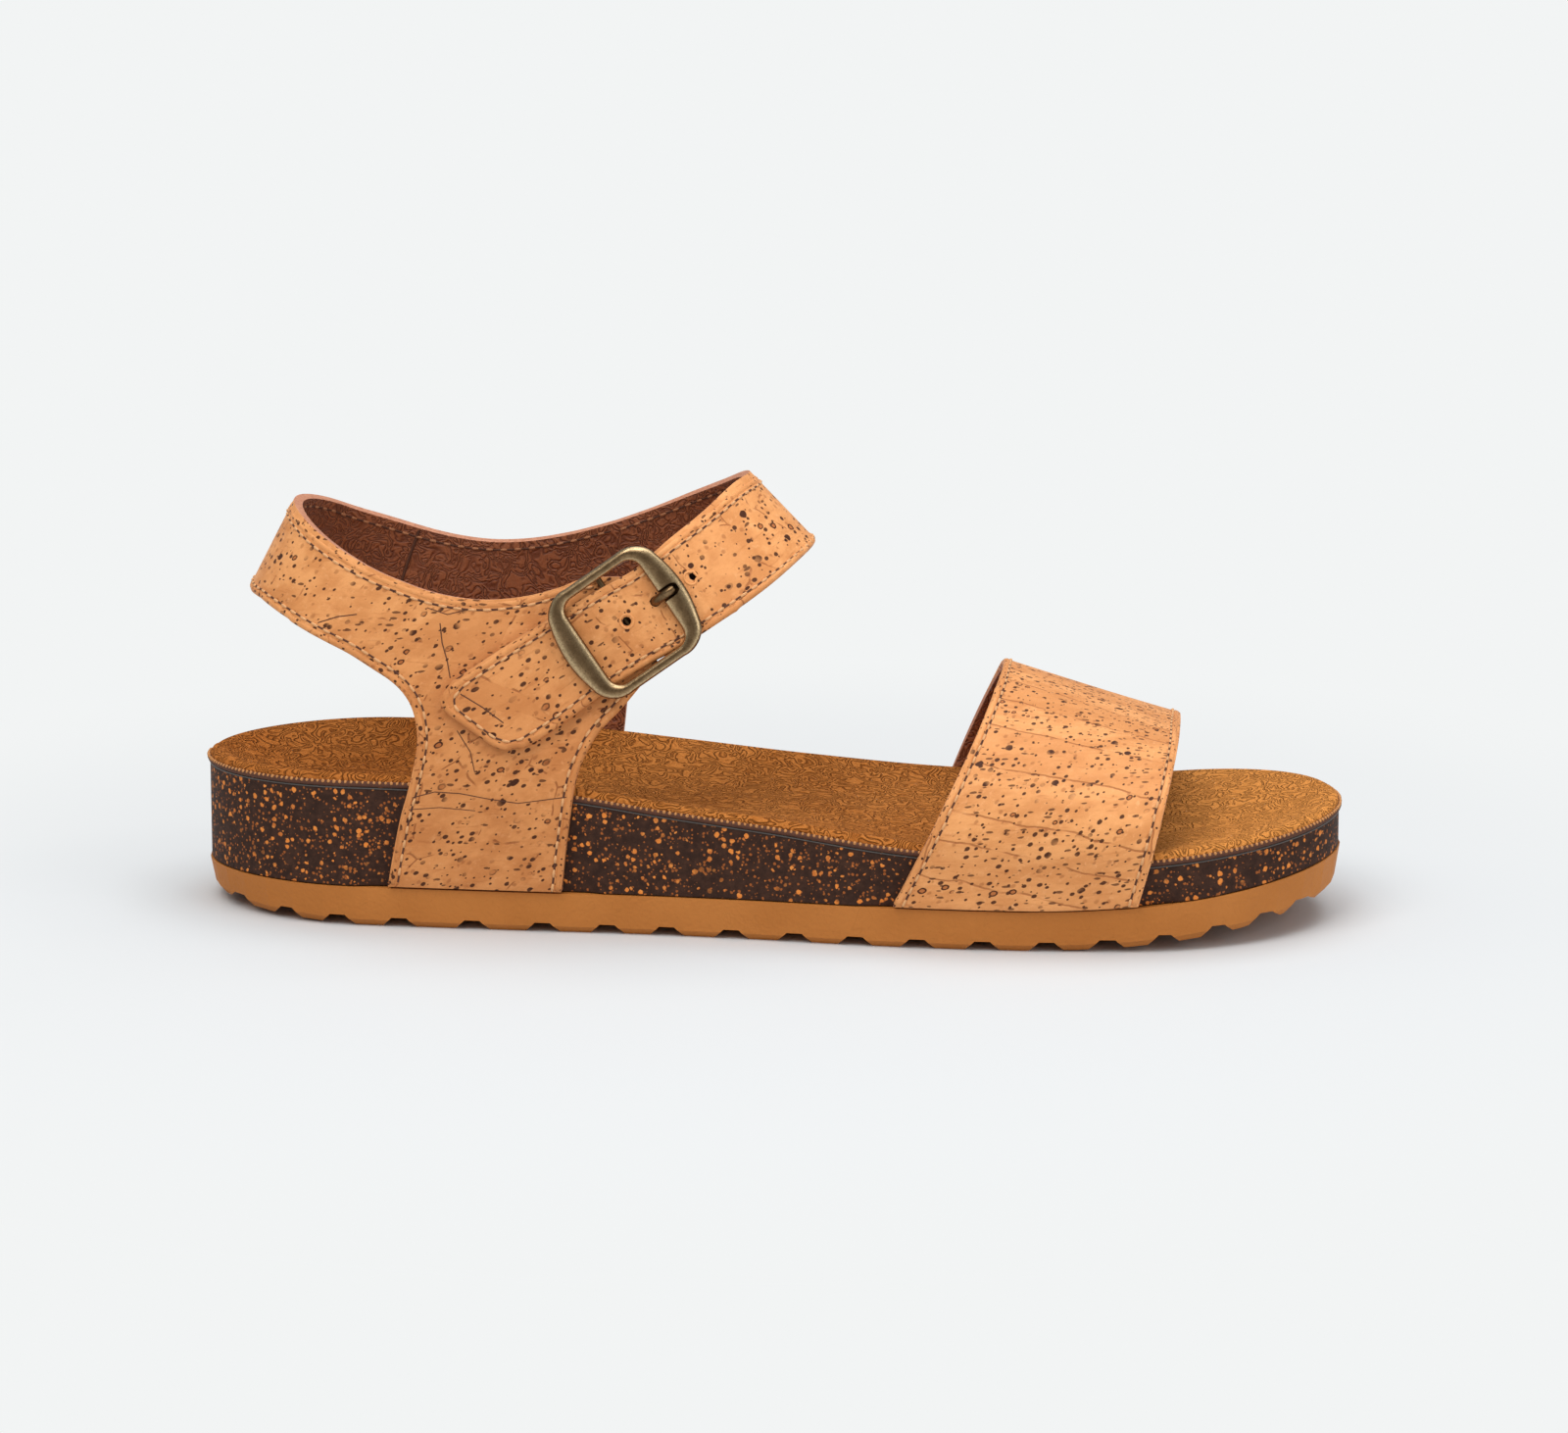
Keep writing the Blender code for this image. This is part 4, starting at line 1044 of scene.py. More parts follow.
def low_edge():
    """Pattern points of the upper's rear edge, from one foot of the quarters to the other."""
    sling_middle = Vector((0.0, SLING_LOW))
    low = edge_curve(MEDIAL_REAR, MEDIAL)
    low += pattern_steps(low[-1], sling_middle)[1:]
    low += pattern_steps(sling_middle, pattern_from_side(*LATERAL_REAR[0], LATERAL))
    return low + edge_curve(LATERAL_REAR, LATERAL)


def add_cracks(grooves, outer, inner):
    """Cracks of the cork and the upright seam of the lining, as thin sunk lines."""
    for crack in CRACKS:
        path = [pattern_from_side(x, z, crack.side) for x, z in crack.points]
        dense = [a.lerp(b, k / CRACK_STEPS) for a, b in zip(path, path[1:]) for k in range(CRACK_STEPS)]
        face = inner if crack.lift < 0 else outer
        laid = laid_on(face, outward_from_pattern(dense + path[-1:], crack.lift))
        sunk = crack.radius * CRACK_SUNK_SHARE
        tube(grooves, [spot - normal * sunk * MM for spot, normal in laid], crack.radius, 6)


def add_hole_rings(outer, material):
    """Puffed rims of the punched holes."""
    rings = bmesh.new()
    turns = [2 * math.pi * k / 24 for k in range(24)]
    for s in HOLE_SPOTS:
        places = []
        for turn in turns:
            along, across = HOLE_RING_RADIUS * math.cos(turn), HOLE_RING_RADIUS * math.sin(turn)
            places.append(buckle_spot(s + along, across, HOLE_RING_LEVEL))
        laid = laid_on(outer, places)
        sunk = [spot - normal * HOLE_RING_SUNK * MM for spot, normal in laid]
        tube(rings, sunk, HOLE_RING_THICK, 8, closed=True)
    add_piece("hole_rings", rings, [material], smooth_angle=180)


def add_stitching(upper, toe, thread, lining_thread, shade):
    """Seams, rolled edges, cracks and hole rims of both straps."""
    threads, grooves, inner_threads = bmesh.new(), bmesh.new(), bmesh.new()
    bands, toe_bands = bmesh.new(), bmesh.new()
    spots, toe_spots = {}, {}
    outer = surface_tree(upper, 0)
    inner = surface_tree(upper, 1)
    high = top_edge()
    for rows in (low_edge(), high, edge_curve(LATERAL_FRONT, LATERAL), edge_curve(MEDIAL_FRONT, MEDIAL)):
        sew(threads, grooves, outer, outward_from_pattern(right_of(rows, STITCH_INSET), WALL))
        roll_edge(bands, spots, outer, outward_from_pattern(right_of(rows, ROLL_INSET), WALL))
    roll_edge(bands, spots, outer, lifted(strap_path(ROLL_INSET), WALL))
    strap = strap_path(STITCH_INSET)
    sew(threads, grooves, outer, lifted(strap, WALL))
    collar = outward_from_pattern(right_of(high, STITCH_INSET), LINING_LIFT)
    medial_strap = lifted([point for point in strap if point.y > 0], LINING_LIFT)
    for points in (collar, medial_strap):
        sew(inner_threads, grooves, inner, points, rise=-0.05)
    add_cracks(grooves, outer, inner)
    add_hole_rings(outer, upper.data.materials[0])
    add_piece("lining_stitches", inner_threads, [lining_thread], smooth_angle=80)
    toe_outer = surface_tree(toe, 0)
    for gap in (STITCH_INSET, ROLL_INSET):
        for v in (gap / TOE_FLAT_LENGTH, 1 - gap / TOE_FLAT_LENGTH):
            points = []
            for point in toe_section(v):
                out = Vector((0.0, point.y / 40.0, 0.25 if point.z > 30 else 0.0))
                points.append(world(*(point + out.normalized() * WALL)))
            if gap == STITCH_INSET:
                sew(threads, grooves, toe_outer, points)
            else:
                roll_edge(toe_bands, toe_spots, toe_outer, points)
    set_uv(bands, spots)
    set_uv(toe_bands, toe_spots)
    add_piece("ankle_edge_bands", bands, [upper.data.materials[0]], smooth_angle=180)
    add_piece("toe_edge_bands", toe_bands, [toe.data.materials[0]], smooth_angle=180)
    add_piece("strap_stitches", threads, [thread], smooth_angle=80)
    add_piece("stitch_grooves", grooves, [shade], smooth_angle=80)


def rim_line(inset, raise_by):
    """Closed line at a height above the midsole's top edge."""
    return [world(x, y, rim_height(x, side) + raise_by) for x, y, side in outline_ring(inset)]


def add_edge_beads(thread, shade):
    """Row of tiny stitches round the footbed's edge and the dark line below them."""
    beads, line = bmesh.new(), bmesh.new()
    tube(line, rim_line(SEWN_LINE_INSET, SEWN_LINE_HEIGHT), SEWN_LINE_RADIUS, 8, closed=True)
    path = rim_line(BEAD_INSET, BEAD_HEIGHT)
    laid = [(point, Vector((0, 0, 1))) for point in path + path[:1]]
    rng = random.Random(5)
    for spot, _ in resample(laid, BEAD_PITCH):
        size = rng.uniform(*BEAD_RADII) * MM
        made = bmesh.ops.create_icosphere(beads, subdivisions=1, radius=1.0)
        for vert in made["verts"]:
            co = vert.co
            vert.co = spot + Vector((co.x * size, co.y * size, co.z * size * BEAD_TALL))
    add_piece("footbed_edge_beads", beads, [thread], smooth_angle=180)
    add_piece("footbed_edge_groove", line, [shade], smooth_angle=180)


def add_top_line(material):
    """Thin grey line round the midsole just below its top edge."""
    line = bmesh.new()
    tube(line, rim_line(TOP_LINE_INSET, -TOP_LINE_DROP), TOP_LINE_RADIUS, 6, closed=True)
    add_piece("midsole_top_line", line, [material], smooth_angle=180)


def under_strap(x):
    """One where a strap lies on the midsole's wall, none in the open stretches."""
    return max(smooth_step((x - a) / (b - a)) * smooth_step((d - x) / (d - c)) for a, b, c, d in STRAP_COVERS)


def build_midsole(material):
    """Wall that is tucked under the straps and flush elsewhere, with a dished top."""
    rings = []
    for k in range(MIDSOLE_RINGS):
        share = k / (MIDSOLE_RINGS - 1)
        ring = []
        tucked = outline_ring(MIDSOLE_FOOT_INSET + (MIDSOLE_RIM_INSET - MIDSOLE_FOOT_INSET) * share)
        flush = outline_ring(MIDSOLE_OPEN_INSET + (MIDSOLE_RIM_INSET - MIDSOLE_OPEN_INSET) * share)
        for inner, outer in zip(tucked, flush):
            cover = under_strap(inner[0])
            x = outer[0] + (inner[0] - outer[0]) * cover
            y = outer[1] + (inner[1] - outer[1]) * cover
            low = outsole_top(x) + GAP
            ring.append((x, y, low + (rim_height(x, inner[2]) - low) * share))
        rings.append(ring)
    rings += [bowl_ring(share, MIDSOLE_RIM_INSET, 0.0) for share in BOWL_SHARES]
    add_piece("midsole_granules", paired_loft(rings), [material], ("midsole",))


def build_footbed(material):
    """Dished insole with a rounded lip."""
    rings = [bowl_ring(share, MIDSOLE_RIM_INSET, GAP) for share in reversed(BOWL_SHARES)]
    lip = (
        (0.9, GAP),
        (0.55, GAP + 0.4),
        (MIDSOLE_RIM_INSET + 0.1, GAP + 0.9),
        (0.6, FOOTBED_EDGE - 0.4),
        (0.95, FOOTBED_EDGE + 0.1),
        (1.5, FOOTBED_EDGE + 0.5),
        (2.4, FOOTBED_EDGE + 0.7),
    )
    for inset, height in lip:
        rings.append([(x, y, rim_height(x, side) + height) for x, y, side in outline_ring(inset)])
    rings += [bowl_ring(share, RIM_LAND, GAP + FOOTBED_SKIN) for share in BOWL_SHARES]
    add_piece("footbed_suede", paired_loft(rings), [material], ("footbed",), smooth_angle=70)


# Buckle

def rounded_corner_path(share, half_s, half_a, corner):
    """Point and outward direction at a share of the way round a rounded rectangle."""
    straight_s, straight_a = 2 * (half_s - corner), 2 * (half_a - corner)
    arc = math.pi / 2 * corner
    pieces = (
        ("side", straight_a, half_s, 0.0), ("corner", arc, 1, 1), ("side", straight_s, 0.0, half_a),
        ("corner", arc, -1, 1), ("side", straight_a, -half_s, 0.0), ("corner", arc, -1, -1),
        ("side", straight_s, 0.0, -half_a), ("corner", arc, 1, -1),
    )
    distance = share * sum(piece[1] for piece in pieces)
    angle = 0.0
    for kind, length, value_s, value_a in pieces:
        if distance < length:
            break
        distance -= length
        if kind == "corner":
            angle += math.pi / 2
    if kind == "side":
        slide = distance - length / 2
        s = value_s - slide * math.sin(angle)
        a = value_a + slide * math.cos(angle)
        return s, a, math.cos(angle), math.sin(angle)
    turn = angle + distance / corner
    s = value_s * (half_s - corner) + corner * math.cos(turn)
    a = value_a * (half_a - corner) + corner * math.sin(turn)
    return s, a, math.cos(turn), math.sin(turn)


def tapered(path, taper):
    """Radius shares along a path that narrows at its last points."""
    return [1.0] * (len(path) - len(taper)) + list(taper)


def build_buckle(material):
    """Frame with bowed end bars, its centre bar, and the prong."""
    polish = {}
    half_s, half_a = WINDOW_ALONG / 2, WINDOW_ACROSS / 2
    solid = bmesh.new()
    rings = []
    full_bow = END_BAR_WIDTH + END_BAR_BOW - SIDE_BAR_WIDTH - END_BAR_START
    for k in range(FRAME_STEPS):
        inner_s, inner_a, out_s, out_a = rounded_corner_path(k / FRAME_STEPS, half_s, half_a, WINDOW_CORNER)
        bow = full_bow * (1 - min(1.0, abs(inner_a) / half_a) ** 2)
        width = SIDE_BAR_WIDTH + (END_BAR_START + bow) * abs(out_s)
        ring = []
        for j in range(FRAME_SIDES):
            turn = 2 * math.pi * (j + 0.5) / FRAME_SIDES
            flat = math.copysign(abs(math.cos(turn)) ** FRAME_SQUARENESS, math.cos(turn))
            reach = width / 2 * (1 + flat)
            s, a = inner_s + out_s * reach, inner_a + out_a * reach
            level = FRAME_LEVEL + FRAME_TILT * s + FRAME_THICK / 2 * math.sin(turn)
            vert = solid.verts.new(buckle_spot(s, a, level))
            # Painted highlight: vertices near the section's shoulders get a share that the brass material
            # mixes towards pale brass.
            shoulders = [abs(turn - math.radians(angle)) / HIGHLIGHT_SPREAD for angle in HIGHLIGHT_ANGLES]
            polish[vert] = (math.exp(-min(shoulders) ** 2), 0.0)
            ring.append(vert)
        rings.append(ring)
    for near, far in zip(rings, rings[1:] + rings[:1]):
        bridge(solid, near, far)
    bmesh.ops.recalc_face_normals(solid, faces=solid.faces)
    set_uv(solid, polish, "polish")
    built = add_piece("buckle_frame_brass", solid, [material], ("buckle_frame",), smooth_angle=60)
    riser = half_a + SIDE_BAR_WIDTH / 2
    levels = ((-riser, FRAME_LEVEL), (-riser, BAR_LEVEL), (riser, BAR_LEVEL), (riser, FRAME_LEVEL))
    bar = rod("centre_bar", [buckle_spot(0.0, a, level) for a, level in levels], BAR_RADIUS, material)
    cut_with(built, bar, "UNION")
    path = prong_path(NOTCH_OVERRUN)
    shares = tapered(path, NOTCH_TAPER)
    cut_with(built, rod("notch", path, PRONG_RADIUS + NOTCH_CLEARANCE, material, 24, shares))
    built.data.set_sharp_from_angle(angle=math.radians(METAL_SHARP_ANGLE))
    prong = bmesh.new()
    path = prong_path()
    tube(prong, path, PRONG_RADIUS, 16, shares=tapered(path, PRONG_TAPER))
    eye_ends = [buckle_spot(0.0, a, BAR_LEVEL) for a in (-PRONG_EYE_HALF, PRONG_EYE_HALF)]
    tube(prong, eye_ends, PRONG_EYE, 16)
    bmesh.ops.recalc_face_normals(prong, faces=prong.faces)
    add_piece("buckle_prong_brass", prong, [material], ("buckle_prong",), smooth_angle=50)


# Materials

class Nodes:
    """Short calls that add shader nodes to one material."""

    def __init__(self, name):
        self.material = bpy.data.materials.new(name)
        self.material.use_nodes = True
        self.tree = self.material.node_tree
        self.shader = self.tree.nodes["Principled BSDF"]

    def add(self, kind, **settings):
        node = self.tree.nodes.new(kind)
        for key, value in settings.items():
            setattr(node, key, value)
        return node

    def wire(self, source, socket):
        if isinstance(source, bpy.types.NodeSocket):
            self.tree.links.new(source, socket)
        else:
            socket.default_value = source

    def coords(self, uv, scale=(1, 1, 1), shift=(0, 0, 0)):
        """Millimetres on the flat pattern, or in space."""
        place = self.add("ShaderNodeTexCoord")
        mapping = self.add("ShaderNodeMapping")
        self.tree.links.new(place.outputs["UV" if uv else "Object"], mapping.inputs["Vector"])
        unit = 1.0 if uv else 1000.0
        mapping.inputs["Scale"].default_value = [unit * v for v in scale]
        mapping.inputs["Location"].default_value = shift
        return mapping.outputs[0]

    def wire_all(self, node, **values):
        for name, value in values.items():
            self.wire(value, node.inputs[name])

    def noise(self, vector, scale, detail=3.0, rough=0.5, distortion=0.0, output="Fac"):
        node = self.add("ShaderNodeTexNoise")
        self.wire_all(node, Vector=vector, Scale=scale, Detail=detail, Roughness=rough, Distortion=distortion)
        return node.outputs[output]

    def cells(self, vector, scale, feature="F1", flat=True):
        node = self.add("ShaderNodeTexVoronoi", feature=feature, voronoi_dimensions="2D" if flat else "3D")
        self.wire_all(node, Vector=vector, Scale=scale)
        return node

    def math(self, operation, a, b=None, clamp=False):
        node = self.add("ShaderNodeMath", operation=operation, use_clamp=clamp)
        self.wire(a, node.inputs[0])
        if b is not None:
            self.wire(b, node.inputs[1])
        return node.outputs[0]

    def times(self, a, b):
        return self.math("MULTIPLY", a, b)

    def plus(self, a, b):
        return self.math("ADD", a, b)

    def axis(self, vector, index):
        node = self.add("ShaderNodeSeparateXYZ")
        self.wire(vector, node.inputs[0])
        return node.outputs[index]

    def vector_math(self, operation, a, b=None):
        node = self.add("ShaderNodeVectorMath", operation=operation)
        self.wire(a, node.inputs[0])
        if b is not None:
            self.wire(b, node.inputs[1])
        return node

    def ramp(self, value, low, high, out_low=0.0, out_high=1.0):
        """Smooth passage from out_low to out_high while the value goes from low to high."""
        node = self.add("ShaderNodeMapRange", interpolation_type="SMOOTHSTEP")
        self.wire(value, node.inputs["Value"])
        numbers = {"From Min": low, "From Max": high, "To Min": out_low, "To Max": out_high}
        self.wire_all(node, **numbers)
        return node.outputs["Result"]

    def mix(self, share, a, b, blend="MIX"):
        """Colour a blended towards colour b; 6 and 7 are the node's two colour sockets."""
        node = self.add("ShaderNodeMix", data_type="RGBA", blend_type=blend)
        self.wire(share, node.inputs["Factor"])
        for index, value in ((6, a), (7, b)):
            self.wire((*value, 1.0) if isinstance(value, tuple) else value, node.inputs[index])
        return node.outputs[2]

    def warp(self, vector, scale, amount):
        """Coordinates pushed about by noise."""
        moved = self.noise(vector, scale, 2.0, output="Color")
        centred = self.vector_math("SUBTRACT", moved, (0.5, 0.5, 0.5))
        scaled = self.vector_math("SCALE", centred.outputs[0])
        scaled.inputs["Scale"].default_value = amount
        return self.vector_math("ADD", vector, scaled.outputs[0]).outputs[0]

    def split(self, colour):
        node = self.add("ShaderNodeSeparateColor")
        self.wire(colour, node.inputs[0])
        return node.outputs

    def spots(self, vector, scale, small, large, present, flat=True, soft=0.12):
        """Round spots of random size: coverage, core and a random number for each cell."""
        cell = self.cells(vector, scale, flat=flat)
        red, green, blue = self.split(cell.outputs["Color"])
        radius = self.ramp(red, 0.0, 1.0, small, large)
        shown = self.math("GREATER_THAN", green, 1.0 - present)
        ratio = self.math("DIVIDE", cell.outputs["Distance"], radius)
        cover = self.times(self.ramp(ratio, 1.0, 1.0 - soft * 2), shown)
        core = self.times(self.ramp(ratio, 0.62, 0.45), shown)
        return cover, core, blue

    def finish(self, colour, roughness, height, strength, distance=0.4, **extra):
        self.wire((*colour, 1.0) if isinstance(colour, tuple) else colour, self.shader.inputs["Base Color"])
        self.wire(roughness, self.shader.inputs["Roughness"])
        bump = self.add("ShaderNodeBump")
        bump.inputs["Strength"].default_value = strength
        bump.inputs["Distance"].default_value = distance * MM
        self.wire(height, bump.inputs["Height"])
        self.tree.links.new(bump.outputs[0], self.shader.inputs["Normal"])
        for name, value in extra.items():
            self.shader.inputs[name.replace("_", " ")].default_value = value
        return self.material


CORK_PALE = (0.86, 0.43, 0.185)
CORK_LIGHT = (0.8, 0.358, 0.13)
CORK_MID = (0.65, 0.262, 0.085)
CORK_DEEP = (0.46, 0.15, 0.042)
LENTICEL = (0.065, 0.018, 0.006)
LENTICEL_BROWN = (0.33, 0.1, 0.028)


def cork_material(name, banded):
    """Natural cork fabric: patches, hairline cracks, flecks and dark lenticels, with painted shade low on the
    ankle upper.
    """
    n = Nodes(name)
    flat = n.coords(True)
    stretch = n.coords(True, scale=(0.35, 1.0, 1.0) if banded else (0.8, 1.0, 1.0))
    patch = n.noise(n.warp(stretch, 0.12, 4.0), 0.16, 4.0, 0.6)
    colour = n.mix(n.ramp(patch, 0.38, 0.66), CORK_LIGHT, CORK_MID)
    fibre = n.noise(n.coords(True, scale=(0.25, 1.6, 1.0)), 0.6, 3.0, 0.65)
    colour = n.mix(n.ramp(fibre, 0.56, 0.72, 0.0, 0.45), colour, CORK_DEEP)
    mottle = n.noise(flat, 0.5, 5.0, 0.7)
    colour = n.mix(n.ramp(mottle, 0.52, 0.72, 0.0, 0.4), colour, CORK_MID)
    colour = n.mix(n.ramp(mottle, 0.46, 0.3, 0.0, 0.6), colour, CORK_PALE)
    if banded:
        lean = n.add("ShaderNodeMapping")
        n.wire(flat, lean.inputs["Vector"])
        lean.inputs["Rotation"].default_value = (0.0, 0.0, math.radians(12.0))
        level = n.times(n.axis(n.warp(n.warp(lean.outputs[0], 0.04, 5.0), 0.25, 1.0), 1), 0.11)
        plates = n.add("ShaderNodeTexVoronoi", feature="DISTANCE_TO_EDGE", voronoi_dimensions="1D")
        tones = n.add("ShaderNodeTexVoronoi", feature="F1", voronoi_dimensions="1D")
        for node in (plates, tones):
            n.wire_all(node, Scale=1.0, W=level)
        broken = n.ramp(n.noise(flat, 0.12, 2.0), 0.4, 0.5, 0.15, 1.0)
        edge_low, edge_high = 0.012, 0.03
    else:
        plate_place = n.warp(n.coords(True, scale=(0.075, 0.06, 1.0)), 2.0, 0.22)
        plates = n.cells(plate_place, 1.0, "DISTANCE_TO_EDGE")
        tones = n.cells(plate_place, 1.0)
        broken = n.ramp(n.noise(flat, 0.2, 2.0), 0.5, 0.58)
        edge_low, edge_high = 0.008, 0.018
    tone = n.split(tones.outputs["Color"])[0]
    colour = n.mix(n.ramp(tone, 0.45, 1.0, 0.0, 0.6), colour, CORK_MID)
    crack = n.times(n.ramp(plates.outputs["Distance"], edge_high, edge_low), broken)
    colour = n.mix(n.times(crack, 0.7), colour, LENTICEL_BROWN)
    cluster = n.noise(n.coords(True, shift=(31.0, 7.0, 0.0)), 0.1, 2.0)
    shape = n.warp(n.coords(True, scale=(0.92, 1.08, 1.0)), 0.8, 0.25)
    small_cover, _, _ = n.spots(shape, 0.4, 0.09, 0.25, 0.62, soft=0.14)
    small_cover = n.times(small_cover, n.ramp(cluster, 0.38, 0.48))
    dot_shape = n.warp(n.coords(True, shift=(53.0, 19.0, 0.0)), 0.8, 0.3)
    dot_cover, _, _ = n.spots(dot_shape, 0.5, 0.08, 0.2, 0.3, soft=0.16)
    big_shape = n.warp(n.coords(True, scale=(0.9, 1.1, 1.0), shift=(13.0, 57.0, 0.0)), 0.8, 0.6)
    big_cover, big_core, kind = n.spots(big_shape, 0.22, 0.1, 0.21, 0.5, soft=0.1)
    big_cover = n.times(big_cover, n.ramp(cluster, 0.42, 0.56))
    dash_shape = n.warp(n.coords(True, scale=(0.5, 1.4, 1.0), shift=(91.0, 3.0, 0.0)), 0.9, 0.6)
    dash_cover, _, _ = n.spots(dash_shape, 0.5, 0.08, 0.24, 0.4 if banded else 0.16, soft=0.15)
    fleck_cover, _, _ = n.spots(n.warp(flat, 1.2, 0.6), 0.42, 0.10, 0.3, 0.4, soft=0.3)
    colour = n.mix(n.times(fleck_cover, 0.5), colour, LENTICEL_BROWN)
    colour = n.mix(n.times(dash_cover, 0.8), colour, LENTICEL)
    dots = n.math("MAXIMUM", small_cover, dot_cover)
    colour = n.mix(n.times(dots, 0.95), colour, LENTICEL)
    hollow = n.times(big_core, n.math("GREATER_THAN", kind, 0.6))
    colour = n.mix(big_cover, colour, n.mix(hollow, LENTICEL, CORK_DEEP))
    if not banded:
        # Painted shade: the ankle cork gets darker from 88 mm down to 45 mm height, where the leg sits
        # recessed under the strap.
        painted_shade_low_on_leg = n.ramp(n.axis(n.coords(False), 2), 88.0, 45.0)
        colour = n.mix(painted_shade_low_on_leg, colour, (0.82, 0.75, 0.68), "MULTIPLY")
    pits = n.math("ADD", n.plus(dots, big_cover), n.plus(dash_cover, crack), clamp=True)
    soft_relief = n.noise(n.warp(flat, 0.35, 1.6), 0.7, 3.0, 0.6)
    grain = n.plus(n.times(soft_relief, 0.9), n.times(n.noise(flat, 3.2, 3.0, 0.7), 0.15))
    height = n.math("SUBTRACT", grain, n.times(pits, 0.7))
    rough = n.ramp(mottle, 0.3, 0.7, 0.46, 0.6)
    return n.finish(colour, rough, height, 0.5, 0.35, Specular_IOR_Level=0.2)


def curly_height(n, vector, scale, turns, distortion=0.8):
    """Nap that curls like worms: level lines of a noise field."""
    field = n.noise(vector, scale, 1.5, 0.45, distortion)
    return n.math("ABSOLUTE", n.math("SINE", n.times(field, turns)))


def suede_material():
    n = Nodes("suede_footbed")
    space = n.coords(False)
    curl = curly_height(n, space, 0.2, 36.0)
    fine = n.noise(space, 1.1, 4.0, 0.7)
    tone = n.noise(space, 0.03, 3.0)
    colour = n.mix(n.ramp(tone, 0.35, 0.65), (0.53, 0.185, 0.038), (0.45, 0.145, 0.026))
    # Painted shade in the valleys and painted highlight on the crests of the curled nap's relief and on the
    # raised points of the fine grain.
    colour = n.mix(n.ramp(curl, 0.45, 0.0, 0.0, 0.55), colour, (0.28, 0.078, 0.012))
    colour = n.mix(n.ramp(curl, 0.75, 1.0, 0.0, 0.2), colour, (0.68, 0.28, 0.075))
    colour = n.mix(n.ramp(fine, 0.5, 0.8, 0.0, 0.5), colour, (0.66, 0.27, 0.075))
    # Painted light and shade along the shoe: the heel end is darkened and the toe end mixed paler, as the
    # light falls more on the toe.
    along = n.axis(space, 0)
    colour = n.mix(n.ramp(along, -30.0, -90.0), colour, (0.88, 0.82, 0.76), "MULTIPLY")
    painted_toe_light = n.mix(0.5, colour, (0.86, 0.36, 0.085))
    colour = n.mix(n.ramp(along, 50.0, 100.0), colour, painted_toe_light)
    height = n.plus(n.ramp(curl, 0.0, 0.7), n.times(fine, 0.6))
    return n.finish(colour, 0.9, height, 1.0, 1.0, Specular_IOR_Level=0.08)


def lining_material():
    n = Nodes("lining_suede")
    space = n.coords(False)
    curl = curly_height(n, space, 0.24, 26.0, 1.2)
    fine = n.noise(space, 1.6, 4.0, 0.7)
    colour = n.mix(n.ramp(n.noise(space, 0.12, 3.0), 0.35, 0.65), (0.22, 0.06, 0.02), (0.165, 0.041, 0.013))
    # Painted highlight on the crests of the curled nap's relief.
    colour = n.mix(n.ramp(curl, 0.5, 1.0, 0.0, 0.75), colour, (0.34, 0.105, 0.038))
    height = n.plus(n.times(curl, 0.9), n.times(fine, 0.5))
    return n.finish(colour, 0.6, height, 0.8, 0.45, Specular_IOR_Level=0.4)


def edge_material():
    n = Nodes("cut_edge_leather")
    fibre = n.noise(n.coords(False), 1.2, 4.0, 0.7)
    colour = n.mix(n.ramp(fibre, 0.3, 0.7), (0.57, 0.26, 0.15), (0.4, 0.15, 0.08))
    return n.finish(colour, 0.75, fibre, 0.5, 0.2)


def grained_material(name, first, second, scale, roughness, strength):
    """Two tones of one colour in a fine grain."""
    n = Nodes(name)
    grain = n.noise(n.coords(False), scale, 2.0)
    return n.finish(n.mix(grain, first, second), roughness, grain, strength, 0.1)


def thread_material(name, dark, pale):
    return grained_material(name, dark, pale, 3.0, 0.65, 0.4)


def midsole_material():
    n = Nodes("granule_mix")
    space = n.coords(False)
    dark = n.ramp(n.noise(space, 0.5, 4.0, 0.7), 0.35, 0.7)
    base = n.mix(dark, (0.032, 0.014, 0.009), (0.058, 0.025, 0.015))
    string = n.noise(n.warp(space, 0.12, 5.0), 0.16, 2.0)
    shape = n.warp(space, 0.9, 0.9)
    cover, _, pick = n.spots(shape, 0.6, 0.14, 0.42, 0.75, flat=False, soft=0.12)
    cover = n.times(cover, n.ramp(string, 0.34, 0.46, 0.35, 1.0))
    small, _, _ = n.spots(n.warp(space, 1.2, 0.5), 1.15, 0.14, 0.45, 0.75, flat=False, soft=0.15)
    orange = n.mix(n.ramp(pick, 0.1, 0.9), (0.76, 0.23, 0.04), (0.52, 0.15, 0.03))
    orange = n.mix(n.ramp(n.noise(space, 1.5, 2.0), 0.45, 0.7, 0.0, 0.5), orange, (0.82, 0.34, 0.08))
    colour = n.mix(n.times(small, 0.65), base, (0.46, 0.13, 0.027))
    colour = n.mix(cover, colour, orange)
    fine = n.noise(space, 1.8, 4.0, 0.7)
    height = n.plus(n.times(fine, 0.5), n.times(cover, 0.5))
    return n.finish(colour, n.ramp(fine, 0.3, 0.7, 0.6, 0.75), height, 0.4, 0.25, Specular_IOR_Level=0.15)


def outsole_material():
    n = Nodes("gum_rubber_tread")
    space = n.coords(False)
    pebble = n.cells(n.warp(space, 0.8, 0.6), 1.15, "SMOOTH_F1", flat=False)
    tone = n.noise(space, 0.04, 3.0)
    colour = n.mix(n.ramp(tone, 0.35, 0.65), (0.525, 0.192, 0.042), (0.47, 0.166, 0.034))
    vein = curly_height(n, space, 0.09, 26.0, 1.5)
    colour = n.mix(n.ramp(vein, 0.12, 0.0, 0.0, 0.18), colour, (0.3, 0.1, 0.018))
    height = n.plus(n.times(pebble.outputs["Distance"], 0.9), n.times(n.noise(space, 2.5), 0.4))
    return n.finish(colour, 0.62, height, 0.45, 0.3, Specular_IOR_Level=0.18)


